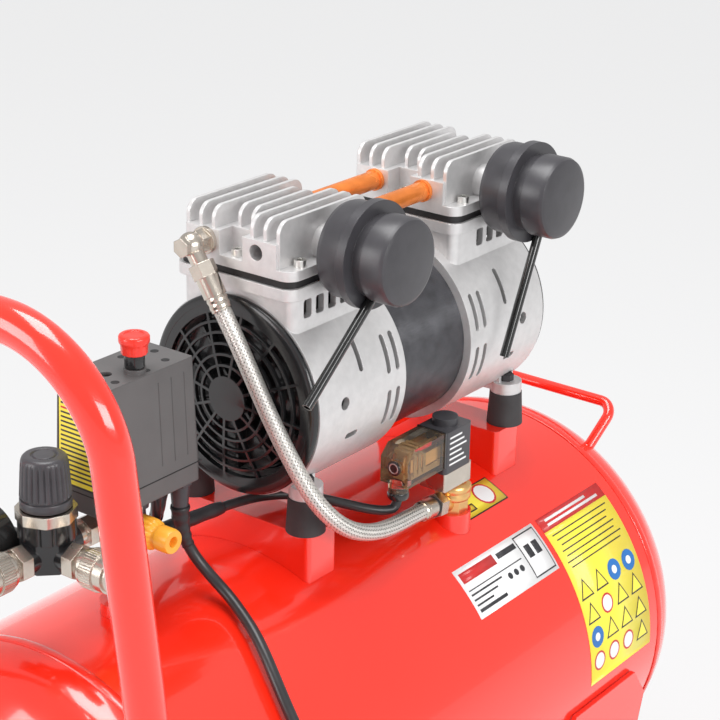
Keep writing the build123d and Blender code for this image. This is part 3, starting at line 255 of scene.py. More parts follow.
def make_materials():
    """Every finish by name: the record's slots, and those that only the added pieces use."""
    return {
        "red_paint": surface("red_paint", (1.0, 0.024, 0.008), 0.20, coat=1.0, bump=(420, 0.02),
                             mottle=(7, 0.04), rounding=0.0012),
        "cast_alloy": surface("cast_alloy", (0.71, 0.70, 0.70), 0.40, metal=0.55, bump=(1100, 0.22),
                              mottle=(160, 0.05), rounding=0.0009),
        "zinc": surface("zinc", (0.74, 0.73, 0.70), 0.30, metal=1.0, bump=(900, 0.03), mottle=(120, 0.08),
                        rounding=0.0005),
        "nickel": surface("nickel", (0.62, 0.56, 0.49), 0.26, metal=1.0, bump=(700, 0.02), mottle=(90, 0.08),
                          rounding=0.0006),
        "steel": surface("steel", (0.55, 0.55, 0.55), 0.32, metal=1.0, bump=(900, 0.03), mottle=(120, 0.1),
                         rounding=0.0004, stretch=(6.0, 1.0, 1.0)),
        "laminations": laminated("laminations"),
        "copper": surface("copper", (0.84, 0.24, 0.045), 0.26, metal=0.45, bump=(500, 0.02),
                          mottle=(70, 0.18), rounding=0.0006),
        "brass": surface("brass", (0.83, 0.50, 0.20), 0.30, metal=0.95, bump=(800, 0.03), mottle=(90, 0.12),
                         rounding=0.0006),
        "fan_black": surface("fan_black", (0.012, 0.012, 0.013), 0.24, coat=0.30, bump=(900, 0.03),
                             mottle=(60, 0.15), rounding=0.0006),
        "tube_black": surface("tube_black", (0.008, 0.008, 0.008), 0.14, coat=0.5, mottle=(60, 0.15)),
        "black_plastic": surface("black_plastic", (0.050, 0.048, 0.054), 0.34, bump=(1500, 0.05),
                                 mottle=(60, 0.15), rounding=0.0008),
        "switch_grey": surface("switch_grey", (0.105, 0.100, 0.100), 0.42, bump=(1900, 0.06),
                               mottle=(30, 0.08), rounding=0.0012),
        "black_gloss": surface("black_gloss", (0.02, 0.02, 0.02), 0.15, coat=0.6, mottle=(80, 0.1),
                               rounding=0.0008),
        "red_plastic": surface("red_plastic", (0.86, 0.03, 0.015), 0.30, coat=0.3, bump=(900, 0.02),
                               mottle=(70, 0.06), rounding=0.0008),
        "orange_plastic": surface("orange_plastic", (0.95, 0.42, 0.035), 0.35, coat=0.2, bump=(900, 0.03),
                                  mottle=(90, 0.08), rounding=0.0006),
        "smoke_plastic": clear("smoke_plastic", (0.80, 0.70, 0.56), 0.96),
        "rubber": surface("rubber", (0.040, 0.038, 0.040), 0.62, bump=(1200, 0.06), mottle=(50, 0.2),
                          rounding=0.0012),
        "tyre": surface("tyre", (0.030, 0.030, 0.030), 0.70, bump=(900, 0.12), mottle=(40, 0.25),
                        rounding=0.0012),
        "cable": surface("cable", (0.026, 0.025, 0.027), 0.34, bump=(600, 0.03), mottle=(60, 0.2)),
        "sleeve": surface("sleeve", (0.020, 0.018, 0.020), 0.42, bump=(260, 0.25), mottle=(60, 0.2)),
        "wire": surface("wire", (0.74, 0.71, 0.67), 0.36, metal=0.70, mottle=(300, 0.12)),
        "hose_core": surface("hose_core", (0.10, 0.09, 0.085), 0.7, metal=0.2, bump=(900, 0.05)),
        "paper": surface("paper", (0.90, 0.90, 0.88), 0.45, mottle=(40, 0.03)),
        "liner": surface("liner", (0.40, 0.40, 0.40), 0.35, metal=1.0, mottle=(100, 0.1)),
        "lens": clear("lens", (0.97, 0.98, 0.98), 0.95, 0.03),
        "label_yellow": surface("label_yellow", (0.93, 0.80, 0.06), 0.38, coat=0.3, mottle=(30, 0.04)),
        "label_white": surface("label_white", (0.86, 0.86, 0.86), 0.36, coat=0.3, mottle=(30, 0.03)),
        "label_red": surface("label_red", (0.62, 0.02, 0.02), 0.4, coat=0.3, mottle=(30, 0.05)),
        "label_ink": surface("label_ink", (0.03, 0.03, 0.035), 0.45, mottle=(60, 0.2)),
        "label_blue": surface("label_blue", (0.02, 0.16, 0.48), 0.4, mottle=(60, 0.08)),
        "tan_plastic": surface("tan_plastic", (0.55, 0.36, 0.16), 0.4, mottle=(90, 0.15)),
        "gasket": surface("gasket", (0.022, 0.021, 0.022), 0.5, metal=0.2, bump=(900, 0.1),
                          mottle=(60, 0.25)),
        # Near black: the switch's dark seam line, and painted shade for the switch's holes and for the inside
        # of the fan covers.
        "seam_dark_and_hollow_shade": surface("seam_dark_and_hollow_shade", (0.012, 0.011, 0.012), 0.6, mottle=(60, 0.2)),
        "weld": surface("weld", (0.95, 0.024, 0.010), 0.26, coat=0.9, bump=(300, 0.25), mottle=(60, 0.08)),
    }


# ---------------------------------------------------------------- mesh helpers

def new_piece(name, mesh, material, body="frame", smooth=True):
    """A piece in the shared frame, on its body, with its finish."""
    obj = bpy.data.objects.new(name, mesh)
    bpy.context.scene.collection.objects.link(obj)
    if isinstance(material, (list, tuple)):
        for one in material:
            mesh.materials.append(one)
    else:
        mesh.materials.append(material)
    if hasattr(mesh, "polygons"):
        for face in mesh.polygons:
            face.use_smooth = smooth
    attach(obj, body)
    return obj


def mesh_from(bm, name):
    """The finished mesh of a bmesh, which is freed."""
    mesh = bpy.data.meshes.new(name)
    bm.normal_update()
    bm.to_mesh(mesh)
    bm.free()
    return mesh


def crease(obj, degrees_sharp=35.0, width=0.0, segments=2):
    """Rounds the edges where a width is given, then splits the shading at the sharp ones."""
    if width:
        bevel = obj.modifiers.new("round", "BEVEL")
        bevel.width = width * MM
        bevel.segments = segments
        bevel.limit_method = "ANGLE"
        bevel.angle_limit = math.radians(degrees_sharp)
    split = obj.modifiers.new("split", "EDGE_SPLIT")
    split.split_angle = math.radians(degrees_sharp)
    return obj


def frame_along(points):
    """Right-angled axes carried along a line of points without twisting."""
    tangents = []
    for index in range(len(points)):
        before = points[max(0, index - 1)]
        after = points[min(len(points) - 1, index + 1)]
        tangents.append((after - before).normalized())
    side = tangents[0].orthogonal().normalized()
    axes = []
    for tangent in tangents:
        side = (side - tangent * side.dot(tangent)).normalized()
        axes.append((side.copy(), tangent.cross(side).normalized()))
    return axes


def route_curve(name, points, radius, resolution=14):
    """A smooth NURBS line with the route's points as its control points, given a round section."""
    curve = bpy.data.curves.new(name, "CURVE")
    curve.dimensions = "3D"
    curve.bevel_depth = radius
    curve.bevel_resolution = 6
    curve.use_fill_caps = True
    spline = curve.splines.new("NURBS")
    spline.points.add(len(points) - 1)
    for control, point in zip(spline.points, points):
        control.co = (*point, 1.0)
    spline.order_u = 3
    spline.use_endpoint_u = True
    spline.resolution_u = resolution
    return curve


def points_on(points, resolution=14):
    """Points read from the route's own smooth line."""
    curve = route_curve("reading", points, 0.0, resolution)
    curve.use_fill_caps = False
    obj = bpy.data.objects.new("reading", curve)
    bpy.context.scene.collection.objects.link(obj)
    depsgraph = bpy.context.evaluated_depsgraph_get()
    mesh = bpy.data.meshes.new_from_object(obj.evaluated_get(depsgraph))
    found = [v.co.copy() for v in mesh.vertices]
    bpy.data.objects.remove(obj)
    bpy.data.curves.remove(curve)
    bpy.data.meshes.remove(mesh)
    return found


def evenly(points, step):
    """The same line with its points a fixed step apart."""
    result = [points[0].copy()]
    left = step
    here = points[0]
    for after in points[1:]:
        gap = (after - here).length
        while gap >= left:
            here = here + (after - here).normalized() * left
            result.append(here.copy())
            gap = (after - here).length
            left = step
        left -= gap
        here = after
    result.append(points[-1].copy())
    return result


def tube_mesh(name, points, radius_at, sides=24):
    """A closed tube whose radius may change along its line; radius_at takes 0 to 1."""
    bm = bmesh.new()
    axes = frame_along(points)
    rings = []
    count = len(points)
    for index, (point, (u, v)) in enumerate(zip(points, axes)):
        radius = radius_at(index / (count - 1))
        ring = []
        for side in range(sides):
            angle = 2 * math.pi * side / sides
            ring.append(bm.verts.new(point + (u * math.cos(angle) + v * math.sin(angle)) * radius))
        rings.append(ring)
    for low, high in zip(rings, rings[1:]):
        for side in range(sides):
            after = (side + 1) % sides
            bm.faces.new((low[side], low[after], high[after], high[side]))
    bm.faces.new(list(reversed(rings[0])))
    bm.faces.new(rings[-1])
    return mesh_from(bm, name)


def braid_mesh(name, points, radius, strands, pitch, width, thickness):
    """Flat wire bands wound both ways round a line, each passing over and under the others."""
    bm = bmesh.new()
    axes = frame_along(points)
    lengths = [0.0]
    for before, after in zip(points, points[1:]):
        lengths.append(lengths[-1] + (after - before).length)
    for way in (1, -1):
        for strand in range(strands):
            previous = None
            for point, (u, v), run in zip(points, axes, lengths):
                angle = way * (2 * math.pi * run / pitch) + 2 * math.pi * strand / strands
                weave = way * math.cos(strands * 2 * math.pi * run / pitch)
                reach = radius + thickness * (0.5 + 0.5 * weave)
                spread = width / radius / 2
                row = []
                for offset, lift in ((-spread, -0.12), (0.0, 0.12), (spread, -0.12)):
                    out = u * math.cos(angle + offset) + v * math.sin(angle + offset)
                    row.append(bm.verts.new(point + out * (reach + lift * thickness)))
                if previous:
                    for a, b in ((0, 1), (1, 2)):
                        corners = (previous[a], previous[b], row[b], row[a])
                        bm.faces.new(corners if way > 0 else corners[::-1])
                previous = row
    return mesh_from(bm, name)


def lathe_mesh(name, outline, at, axis, sides=64, flutes=None):
    """Turns (radius, height) points in mm round an axis.

    flutes=(count, depth, low, high) cuts grooves between two heights. An outline that ends where it starts
    makes a ring.
    """
    bm = bmesh.new()
    turn = Vector((0, 0, 1)).rotation_difference(Vector(axis)).to_matrix()
    count, depth, flute_low, flute_high = flutes or (0, 0.0, 0.0, 0.0)
    rings = []
    for radius, height in outline:
        ring = []
        for side in range(sides):
            angle = 2 * math.pi * side / sides
            reach = radius
            if flutes and flute_low <= height <= flute_high:
                wave = 0.5 + 0.5 * math.cos(count * angle)
                reach = radius - depth * wave ** 3
            local = Vector((reach * math.cos(angle), reach * math.sin(angle), height)) * MM
            ring.append(bm.verts.new(at + turn @ local))
        rings.append(ring)
    for low, high in zip(rings, rings[1:]):
        for side in range(sides):
            after = (side + 1) % sides
            bm.faces.new((low[side], low[after], high[after], high[side]))
    if outline[0] == outline[-1]:
        bmesh.ops.remove_doubles(bm, verts=bm.verts, dist=1e-7)
    else:
        bm.faces.new(list(reversed(rings[0])))
        bm.faces.new(rings[-1])
    bmesh.ops.recalc_face_normals(bm, faces=bm.faces)
    return mesh_from(bm, name)


def slab(bm, low, high):
    """Adds a box between two corners."""
    middle = (Vector(low) + Vector(high)) / 2
    size = Vector(high) - Vector(low)
    for vert in bmesh.ops.create_cube(bm, size=1.0)["verts"]:
        vert.co = Vector((vert.co.x * size.x, vert.co.y * size.y, vert.co.z * size.z)) + middle


# ---------------------------------------------------------------- CAD nodes

NODE_FINISHES = {
    "switch_base": "switch_grey", "switch_cover": "switch_grey", "fan_covers": "fan_black",
    "cooling_fans": "fan_black", "snorkels": "tube_black", "regulator_body": "fan_black",
    "valve_plates": "gasket", "connecting_rod_front": "liner", "connecting_rod_rear": "liner"}
SLOT_FINISHES = {"braid": "wire"}
CAD_MERGE = 0.00001
CAD_SHARP = 28


def finish_cad(materials):
    """Gives every CAD node its finish and smooth shading over its round faces."""
    slots = {part["node"]: part["material_slot"] for part in frame["record"]["subparts"]}
    for name, obj in nodes.items():
        slot = slots[name]
        material = materials[NODE_FINISHES.get(name) or SLOT_FINISHES.get(slot, slot)]
        obj.data.materials.clear()
        obj.data.materials.append(material)
        for face in obj.data.polygons:
            face.use_smooth = True
        weld = obj.modifiers.new("weld", "WELD")
        weld.merge_threshold = CAD_MERGE
        split = obj.modifiers.new("split", "EDGE_SPLIT")
        split.split_angle = math.radians(CAD_SHARP)


# ---------------------------------------------------------------- tank: welds and labels

LABEL_THICKNESS = 0.12
PATCH_BANDS = 8

def ring_bead(name, x, radius, thickness, materials):
    """The weld bead round the tank at one seam."""
    bm = bmesh.new()
    around, section = 180, 8
    rings = []
    for step in range(around):
        angle = 2 * math.pi * step / around
        ripple = 1.0 + 0.10 * math.sin(step * 2.2)
        ring = []
        for turn in range(section):
            roll = 2 * math.pi * turn / section
            reach = radius + thickness * 0.42 * math.cos(roll) * ripple
            along = x + thickness * 1.4 * math.sin(roll)
            ring.append(bm.verts.new((along, reach * math.cos(angle), TANK_Z + reach * math.sin(angle))))
        rings.append(ring)
    for index, low in enumerate(rings):
        high = rings[(index + 1) % around]
        for turn in range(section):
            after = (turn + 1) % section
            bm.faces.new((low[turn], low[after], high[after], high[turn]))
    bmesh.ops.recalc_face_normals(bm, faces=bm.faces)
    new_piece(name, mesh_from(bm, name), materials["weld"])


def on_tank(x, angle, lift):
    """A point on the tank's surface: x in mm from its middle, angle up from -Y in degrees, lift in mm."""
    reach = TANK_R + lift * MM
    turn = math.radians(angle)
    return Vector((MIDDLE_X + x * MM, -reach * math.cos(turn), TANK_Z + reach * math.sin(turn)))


def patch(bm, x_span, angle_span, lift, material_index):
    """A curved rectangle with thickness on the tank, between two x and two angles."""
    across = max(2, int((angle_span[1] - angle_span[0]) / 2.0))

    def sheet(height):
        rows = []
        for step in range(across + 1):
            angle = angle_span[0] + (angle_span[1] - angle_span[0]) * step / across
            rows.append([bm.verts.new(on_tank(x, angle, height)) for x in x_span])
        return rows

    top = sheet(lift)
    base = sheet(lift - LABEL_THICKNESS)
    faces = [(low[0], low[1], high[1], high[0]) for low, high in zip(top, top[1:])]
    for side in (0, 1):
        for low, high, base_low, base_high in zip(top, top[1:], base, base[1:]):
            corners = (low[side], high[side], base_high[side], base_low[side])
            faces.append(corners if side == 0 else corners[::-1])
    for row, under in ((top[0], base[0]), (top[-1], base[-1])):
        faces.append((row[0], row[1], under[1], under[0]))
    faces += [(low[0], high[0], high[1], low[1]) for low, high in zip(base, base[1:])]
    for corners in faces:
        bm.faces.new(corners).material_index = material_index


def disc_patch(bm, x, angle, radius, lift, material_index):
    """A round spot on the tank, radius in mm, in bands that follow the curve."""
    before = None
    for step in range(PATCH_BANDS + 1):
        height = -math.cos(math.pi * step / PATCH_BANDS)
        half = radius * math.sqrt(max(0.0, 1 - height * height))
        level = angle + math.degrees(radius * height * MM / TANK_R)
        row = [bm.verts.new(on_tank(x - half * (1 - k / 4) + half * k / 4, level, lift)) for k in range(5)]
        if before:
            for k in range(4):
                corners = (before[k], before[k + 1], row[k + 1], row[k])
                bm.faces.new(corners).material_index = material_index
        before = row


def triangle_patch(bm, x, angle, size, lift, material_index):
    """An upright triangle on the tank, size in mm."""
    up = math.degrees(size * MM / TANK_R)
    before = None
    for step in range(PATCH_BANDS + 1):
        share = step / PATCH_BANDS
        half = size * (1 - share)
        level = angle - up * 0.8 + up * 1.8 * share
        row = [bm.verts.new(on_tank(x - half, level, lift)), bm.verts.new(on_tank(x + half, level, lift))]
        if before:
            bm.faces.new((before[0], before[1], row[1], row[0])).material_index = material_index
        before = row


def make_labels(materials):
    """Three plain stickers: bars, rings, triangles and blocks in place of words and signs."""
    palette = [materials[key] for key in
               ("label_yellow", "label_white", "label_red", "label_ink", "label_blue")]
    yellow, white, red, ink, blue = range(5)
    tall = bmesh.new()
    patch(tall, (157, 247), (0.0, 46.6), 0.20, yellow)
    patch(tall, (157, 247), (46.6, 51.0), 0.20, red)
    for row in range(2):
        patch(tall, (166, 238 - 14 * row), (47.6 + 1.5 * row, 48.4 + 1.5 * row), 0.30, white)
    for row in range(7):
        inset = (row * 7) % 5
        patch(tall, (163 + inset, 241 - 2 * inset), (44.6 - 1.7 * row, 44.95 - 1.7 * row), 0.30, ink)
    icons = ("ttoo", "tntt", "ottt", "nnnt")
    for row, kinds in enumerate(icons):
        for column, kind in enumerate(kinds):
            x = 169.5 + 21.5 * column
            angle = 27.5 - 7.1 * row
            if kind == "o":
                disc_patch(tall, x, angle, 8.6, 0.30, blue)
                disc_patch(tall, x, angle, 3.4, 0.38, white)
            elif kind == "t":
                triangle_patch(tall, x, angle, 9.0, 0.30, ink)
                triangle_patch(tall, x, angle - 0.1, 7.0, 0.38, yellow)
            else:
                disc_patch(tall, x, angle, 8.0, 0.30, red)
                disc_patch(tall, x, angle, 6.4, 0.38, white)
    new_piece("label_tall", mesh_from(tall, "label_tall"), palette)

    plate = bmesh.new()
    patch(plate, (45.5, 151), (36.5, 51.0), 0.20, white)
    patch(plate, (49, 92), (46.6, 49.6), 0.30, red)
    patch(plate, (96, 120), (47.4, 49.0), 0.30, ink)
    patch(plate, (49, 118), (44.2, 44.5), 0.30, ink)
    for row in range(3):
        patch(plate, (49, 88 - 9 * row), (42.8 - 1.5 * row, 43.3 - 1.5 * row), 0.30, ink)
        disc_patch(plate, 97 + 8 * row, 42.0, 2.6, 0.30, ink)
    patch(plate, (49, 84), (38.0, 38.9), 0.30, ink)
    patch(plate, (122, 149), (37.5, 50.2), 0.30, ink)
    patch(plate, (123, 148), (37.9, 49.8), 0.36, white)
    patch(plate, (127, 134), (43.0, 46.8), 0.42, ink)
    patch(plate, (137, 144), (43.0, 46.8), 0.42, ink)
    new_piece("label_plate", mesh_from(plate, "label_plate"), palette)

    small = bmesh.new()
    patch(small, (92, 152), (60.5, 69.5), 0.20, ink)
    patch(small, (93, 151), (60.9, 69.1), 0.30, yellow)
    disc_patch(small, 135, 65.2, 10.5, 0.36, red)
    disc_patch(small, 135, 65.2, 8.8, 0.42, white)
    patch(small, (98, 116), (62.2, 64.6), 0.36, ink)
    patch(small, (99.5, 114.5), (62.6, 64.2), 0.42, yellow)
    new_piece("label_small", mesh_from(small, "label_small"), palette)


KNOB_COLLAR = 3.0
SWITCH_DRAFT = 2.5


def make_switch_details(materials):
    """The switch's sticker, the ribs on its broad faces, its seam, and near-black discs on its top: painted
    shade standing for its holes.
    """
    low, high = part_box("switch_cover")
    seam = low.z
    top = high.z - KNOB_COLLAR * MM
    draft = math.tan(math.radians(SWITCH_DRAFT))

    def face_x(z):
        return low.x + (z - seam) * draft

    def face_y(z):
        return low.y + (z - seam) * draft

    palette = [materials[key] for key in ("label_ink", "label_yellow", "label_red")]
    sticker = bmesh.new()
    y_span = (low.y + 4.5 * MM, high.y - 4.5 * MM)

    def flat(z_span, y_pair, lift, index):
        (z_low, z_high), (y_near, y_far) = z_span, y_pair
        corners = []
        for z, y in ((z_low, y_near), (z_low, y_far), (z_high, y_far), (z_high, y_near)):
            corners.append(sticker.verts.new((face_x(z) - lift * MM, y, z)))
        sticker.faces.new(corners[::-1]).material_index = index

    flat((seam + 3 * MM, top - 5 * MM), y_span, 0.25, 0)
    flat((seam + 4.5 * MM, top - 6.5 * MM), (y_span[0] + 1.5 * MM, y_span[1] - 1.5 * MM), 0.35, 1)
    for row in range(17):
        z = seam + (7.5 + 3.1 * row) * MM
        inset = (2.5 + (row * 5) % 4) * MM
        flat((z, z + 1.2 * MM), (y_span[0] + inset, y_span[1] - 3.0 * MM), 0.42, 2 if row == 15 else 0)
    new_piece("switch_label", mesh_from(sticker, "switch_label"), palette, smooth=False)

    ribs = bmesh.new()
    for side in (-1, 1):
        for step in range(3):
            x = (low.x + high.x) / 2 + (7 + 12 * step) * MM
            depth = 0.5 * MM * side
            ends = []
            for z in (seam + 8 * MM, top - 8 * MM):
                y = face_y(z) if side < 0 else high.y - (z - seam) * draft
                corners = ((x - 0.8 * MM, y - depth, z), (x + 0.8 * MM, y - depth, z), (x, y + depth, z))
                ends.append([ribs.verts.new(corner) for corner in corners])
            bottom, upper = ends
            for i in range(3):
                j = (i + 1) % 3
                ribs.faces.new((bottom[i], bottom[j], upper[j], upper[i]))
            ribs.faces.new(bottom[::-1])
            ribs.faces.new(upper)
    bmesh.ops.recalc_face_normals(ribs, faces=ribs.faces)
    new_piece("switch_ribs", mesh_from(ribs, "switch_ribs"), materials["switch_grey"],
              smooth=False)

    seam_line = bmesh.new()
    inset = 0.35 * MM
    slab(seam_line, (low.x - inset, low.y - inset, seam - 0.5 * MM),
         (high.x + inset, high.y + inset, seam + 0.4 * MM))
    seam_piece = new_piece("switch_seam", mesh_from(seam_line, "switch_seam"), materials["seam_dark_and_hollow_shade"],
                           smooth=False)
    crease(seam_piece, 30, 2.0, 3)

    # Near-black discs on the top: painted shade in place of real holes.
    for index, (dx, dy) in enumerate(((-31, 10), (-24, -14), (10, 13), (24, -12), (31, 4), (3, -15))):
        at = Vector(((low.x + high.x) / 2 + dx * MM, (low.y + high.y) / 2 + dy * MM, top))
        outline = [(2.8, -0.6), (2.8, 0.1), (2.5, 0.2), (0.4, 0.2)]
        new_piece(f"switch_hole_painted_shade_{index}", lathe_mesh("hole", outline, at, (0, 0, 1), 24),
                  materials["seam_dark_and_hollow_shade"])


# ---------------------------------------------------------------- hose and cables

HOSE = (
    (-96.0, 7.0, 594.0), (-96.0, -1.5, 580.5), (-96.0, -11.5, 566.0), (-96.0, -23.0, 548.0),
    (-96.0, -36.0, 526.3), (-95.5, -48.6, 505.0), (-94.0, -60.5, 485.4), (-90.5, -70.6, 467.0),
    (-83.5, -78.0, 450.0), (-70.0, -82.5, 433.5), (-52.0, -84.0, 420.0), (-29.0, -83.5, 410.0),
    (-4.0, -81.0, 404.0), (21.0, -77.0, 400.0), (45.0, -73.6, 396.3), (60.0, -71.9, 393.6))
UNLOADER_LEAD = (
    (-168.0, 5.0, 455.0), (-168.0, 5.0, 441.0), (-153.0, 6.0, 430.0), (-126.0, 6.0, 427.0),
    (-100.0, 4.0, 426.0), (-78.0, 0.0, 426.0), (-58.0, -5.0, 425.0), (-40.0, -14.0, 423.0),
    (-25.0, -28.0, 419.5), (-14.0, -43.0, 415.5), (-3.0, -57.0, 411.0), (9.0, -67.0, 407.5),
    (18.0, -70.0, 408.5), (19.0, -70.0, 417.5))
MOTOR_LEAD = (
    (-150.0, 8.0, 455.0), (-150.0, 8.0, 441.0), (-140.0, 18.0, 431.0), (-122.0, 33.0, 427.5),
    (-102.0, 48.0, 428.0), (-83.0, 63.0, 434.0), (-64.0, 75.0, 440.0), (-44.0, 77.0, 443.0),
    (-28.0, 68.2, 450.1), (-28.0, 53.6, 462.3))
POWER_CORD = (
    (-150.0, -14.0, 455.0), (-150.0, -14.0, 438.0), (-145.0, -19.0, 420.0), (-140.0, -30.0, 405.0),
    (-138.5, -45.5, 394.0), (-143.0, -62.0, 387.0), (-149.0, -78.0, 380.5), (-155.0, -92.0, 372.0),
    (-161.0, -106.0, 361.0), (-166.0, -120.0, 347.5), (-169.5, -137.0, 328.5), (-171.0, -154.0, 299.0),
    (-170.0, -167.0, 259.0), (-167.0, -175.0, 215.0), (-162.0, -181.0, 168.0), (-155.0, -188.0, 122.0),
    (-146.0, -196.0, 80.0), (-138.0, -201.0, 44.0), (-122.0, -198.0, 18.0), (-98.0, -185.0, 6.0),
    (-72.0, -168.0, 4.0))
COIL_AT = (-97.0, -127.5)
COIL_EASE = 1.02
CORD_R = 4.0
LEAD_R = 3.5
HOSE_R = 6.0


def routed(points):
    """A route in millimetres as points in the shared frame."""
    return [place(*point) for point in points]


def make_hose(materials):
    """The hose: a dark core under a braid of flat wire bands."""
    line = evenly(points_on(routed(HOSE)), 0.6 * MM)
    core = new_piece("hose_core", tube_mesh("hose_core", line, lambda t: (HOSE_R - 0.55) * MM, 28),
                     materials["hose_core"])
    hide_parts("delivery_hose")
    braid = braid_mesh("hose_braid", line, (HOSE_R - 0.5) * MM, strands=12, pitch=40 * MM, width=2.1 * MM,
                       thickness=0.65 * MM)
    piece = new_piece("hose_braid", braid, materials["wire"])
    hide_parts("delivery_hose")

    def ferrule(t):
        return (7.2 + 0.25 * math.cos(30 * t)) * MM

    for name, span in (("ferrule_upper", line[2:38]), ("ferrule_lower", line[-32:-1])):
        new_piece(f"hose_{name}", tube_mesh(name, span, ferrule, 32), materials["nickel"])
    new_piece("hose_collar", tube_mesh("hose_collar", line[-6:-1], lambda t: 7.9 * MM, 32),
              materials["rubber"])


def make_leads(materials):
    """The two leads that stay on the machine, with heat-shrink where they leave the switch."""
    for name, points in (("unloader_lead", UNLOADER_LEAD), ("motor_lead", MOTOR_LEAD)):
        curve = route_curve(name, routed(points), LEAD_R * MM)
        lead = new_piece(name, curve, materials["cable"])
        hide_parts("switch_leads")

    def shrink(t):
        ends = 0.5 * math.exp(-t * 14) + 0.5 * math.exp(-(1 - t) * 14)
        return (LEAD_R + 1.5 - 1.1 * ends + 0.14 * math.sin(23 * t)) * MM

    sleeves = (("unloader_sleeve", UNLOADER_LEAD, 0.10, 0.40), ("motor_sleeve", MOTOR_LEAD, 0.16, 0.62))
    for name, points, start, end in sleeves:
        line = evenly(points_on(routed(points)), 2.0 * MM)
        span = line[int(start * len(line)):int(end * len(line))]
        new_piece(name, tube_mesh(name, span, shrink, 24), materials["sleeve"])


def make_power_cord(materials):
    """The mains cord: down over the tank's side to the floor, then the rest in a coil beside the feet."""
    points = list(POWER_CORD[:-1])
    centre_x, centre_y = COIL_AT
    start = math.atan2(POWER_CORD[-1][1] - centre_y, POWER_CORD[-1][0] - centre_x)
    layers = ((48.0, 4.0), (40.0, 4.0), (40.0, 12.0), (48.0, 12.0))
    per_turn = 16
    turns = len(layers) + 0.3
    for step in range(int(turns * per_turn) + 1):
        turn = step / per_turn
        index = min(int(turn), len(layers) - 1)
        after = min(index + 1, len(layers) - 1)
        share = max(0.0, min(1.0, (turn - index - 0.72) / 0.28))
        share = share * share * (3 - 2 * share)
        radius = layers[index][0] + (layers[after][0] - layers[index][0]) * share
        height = layers[index][1] + (layers[after][1] - layers[index][1]) * share
        angle = start + 2 * math.pi * turn
        reach = radius * COIL_EASE
        points.append((centre_x + reach * math.cos(angle), centre_y + reach * math.sin(angle), height))
    line = routed(points)
    curve = route_curve("mains_cord", line, CORD_R * MM)
    cord = new_piece("mains_cord", curve, materials["cable"])
    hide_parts("power_cord", "power_cord_coil")
    read = points_on(line)
    relief_line = evenly(points_on(routed(POWER_CORD[:4])), 2.0 * MM)[:16]

    def relief(t):
        return (CORD_R + 2.4 * (1 - t) + 0.5 * (math.sin(26 * t) > 0)) * MM
    guard = new_piece("cord_relief", tube_mesh("cord_relief", relief_line, relief, 24), materials["sleeve"])


# ---------------------------------------------------------------- small details

def make_switch_knob(materials):
    """The red pull cap with its flared crown, on a black neck."""
    knob_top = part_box("switch_knob")[1].z
    centre = Vector((place(-188.5, 0, 0).x, -13.0 * MM, knob_top))
    neck = [(2.0, -22.0), (6.6, -21.8), (6.6, -12.6), (2.0, -12.6)]
    stem = new_piece("pull_neck", lathe_mesh("pull_neck", neck, centre, (0, 0, 1), 48),
                     materials["fan_black"], "pull_knob")
    crease(stem, 30, 0.4)
    cap = [(1.0, -13.0), (8.0, -13.0), (8.5, -12.5), (8.8, -7.4), (9.0, -6.4), (9.8, -5.2), (10.0, -4.4),
           (10.0, -1.5), (9.5, -0.5), (8.6, 0.0), (6.6, 0.0), (6.2, -0.6), (1.0, -0.7)]
    mesh = lathe_mesh("pull_cap", cap, centre, (0, 0, 1), 72, flutes=(12, 0.35, -13.1, -7.1))
    crown = new_piece("pull_cap", mesh, materials["red_plastic"], "pull_knob")
    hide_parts("switch_knob")
    crease(crown, 40)


def make_safety_cap(materials):
    """The relief valve's pull cap: a ribbed drum, a smooth snout and a blind hole in its end."""
    low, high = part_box("safety_cap")
    centre = Vector(((low.x + high.x) / 2, high.y, (low.z + high.z) / 2))
    length = (high.y - low.y) / MM
    wide = (high.x - low.x) / MM / 2
    outline = [
        (3.0, 0.2), (wide * 0.93, 0.2), (wide, 0.8), (wide, length * 0.42), (wide * 0.92, length * 0.5),
        (wide * 0.70, length * 0.55), (wide * 0.68, length * 0.62), (wide * 0.80, length * 0.66),
        (wide * 0.80, length * 0.93), (wide * 0.74, length), (wide * 0.36, length),
        (wide * 0.32, length * 0.97), (wide * 0.32, length * 0.80), (0.3, length * 0.80)]
    mesh = lathe_mesh("relief_cap", outline, centre, (0, -1, 0), 120, flutes=(15, 0.9, 0.7, length * 0.5))
    cap = new_piece("relief_drum", mesh, materials["orange_plastic"], "relief_cap")
    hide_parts("safety_cap")
    crease(cap, 40)


def make_regulator_knob(materials):
    """The tall fluted knob with its dished top, its gap line and its ribbed skirt."""
    low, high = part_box("regulator_knob")
    at = Vector(((low.x + high.x) / 2, (low.y + high.y) / 2, low.z))
    height = (high.z - low.z) / MM
    outline = [
        (12.9, 0.1), (16.2, 0.1), (16.5, 0.6), (16.5, 5.4), (16.2, 5.9), (15.2, 6.0), (15.2, 7.2),
        (16.2, 7.4), (16.5, 8.0), (16.3, 11.0), (15.9, 17.0), (15.5, 23.0), (15.1, height - 6.0),
        (14.7, height - 3.4),
        (14.0, height - 1.6), (12.9, height - 0.5), (11.4, height), (8.6, height - 0.05), (8.0, height - 0.9),
        (7.2, height - 0.9), (6.6, height - 0.1), (1.0, height)]
    mesh = lathe_mesh("pressure_knob", outline, at, (0, 0, 1), 192, flutes=(24, 1.2, 7.9, height - 5.0))
    knob = new_piece("pressure_knob", mesh, materials["black_plastic"], "pressure_knob")
    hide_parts("regulator_knob")
    crease(knob, 40)


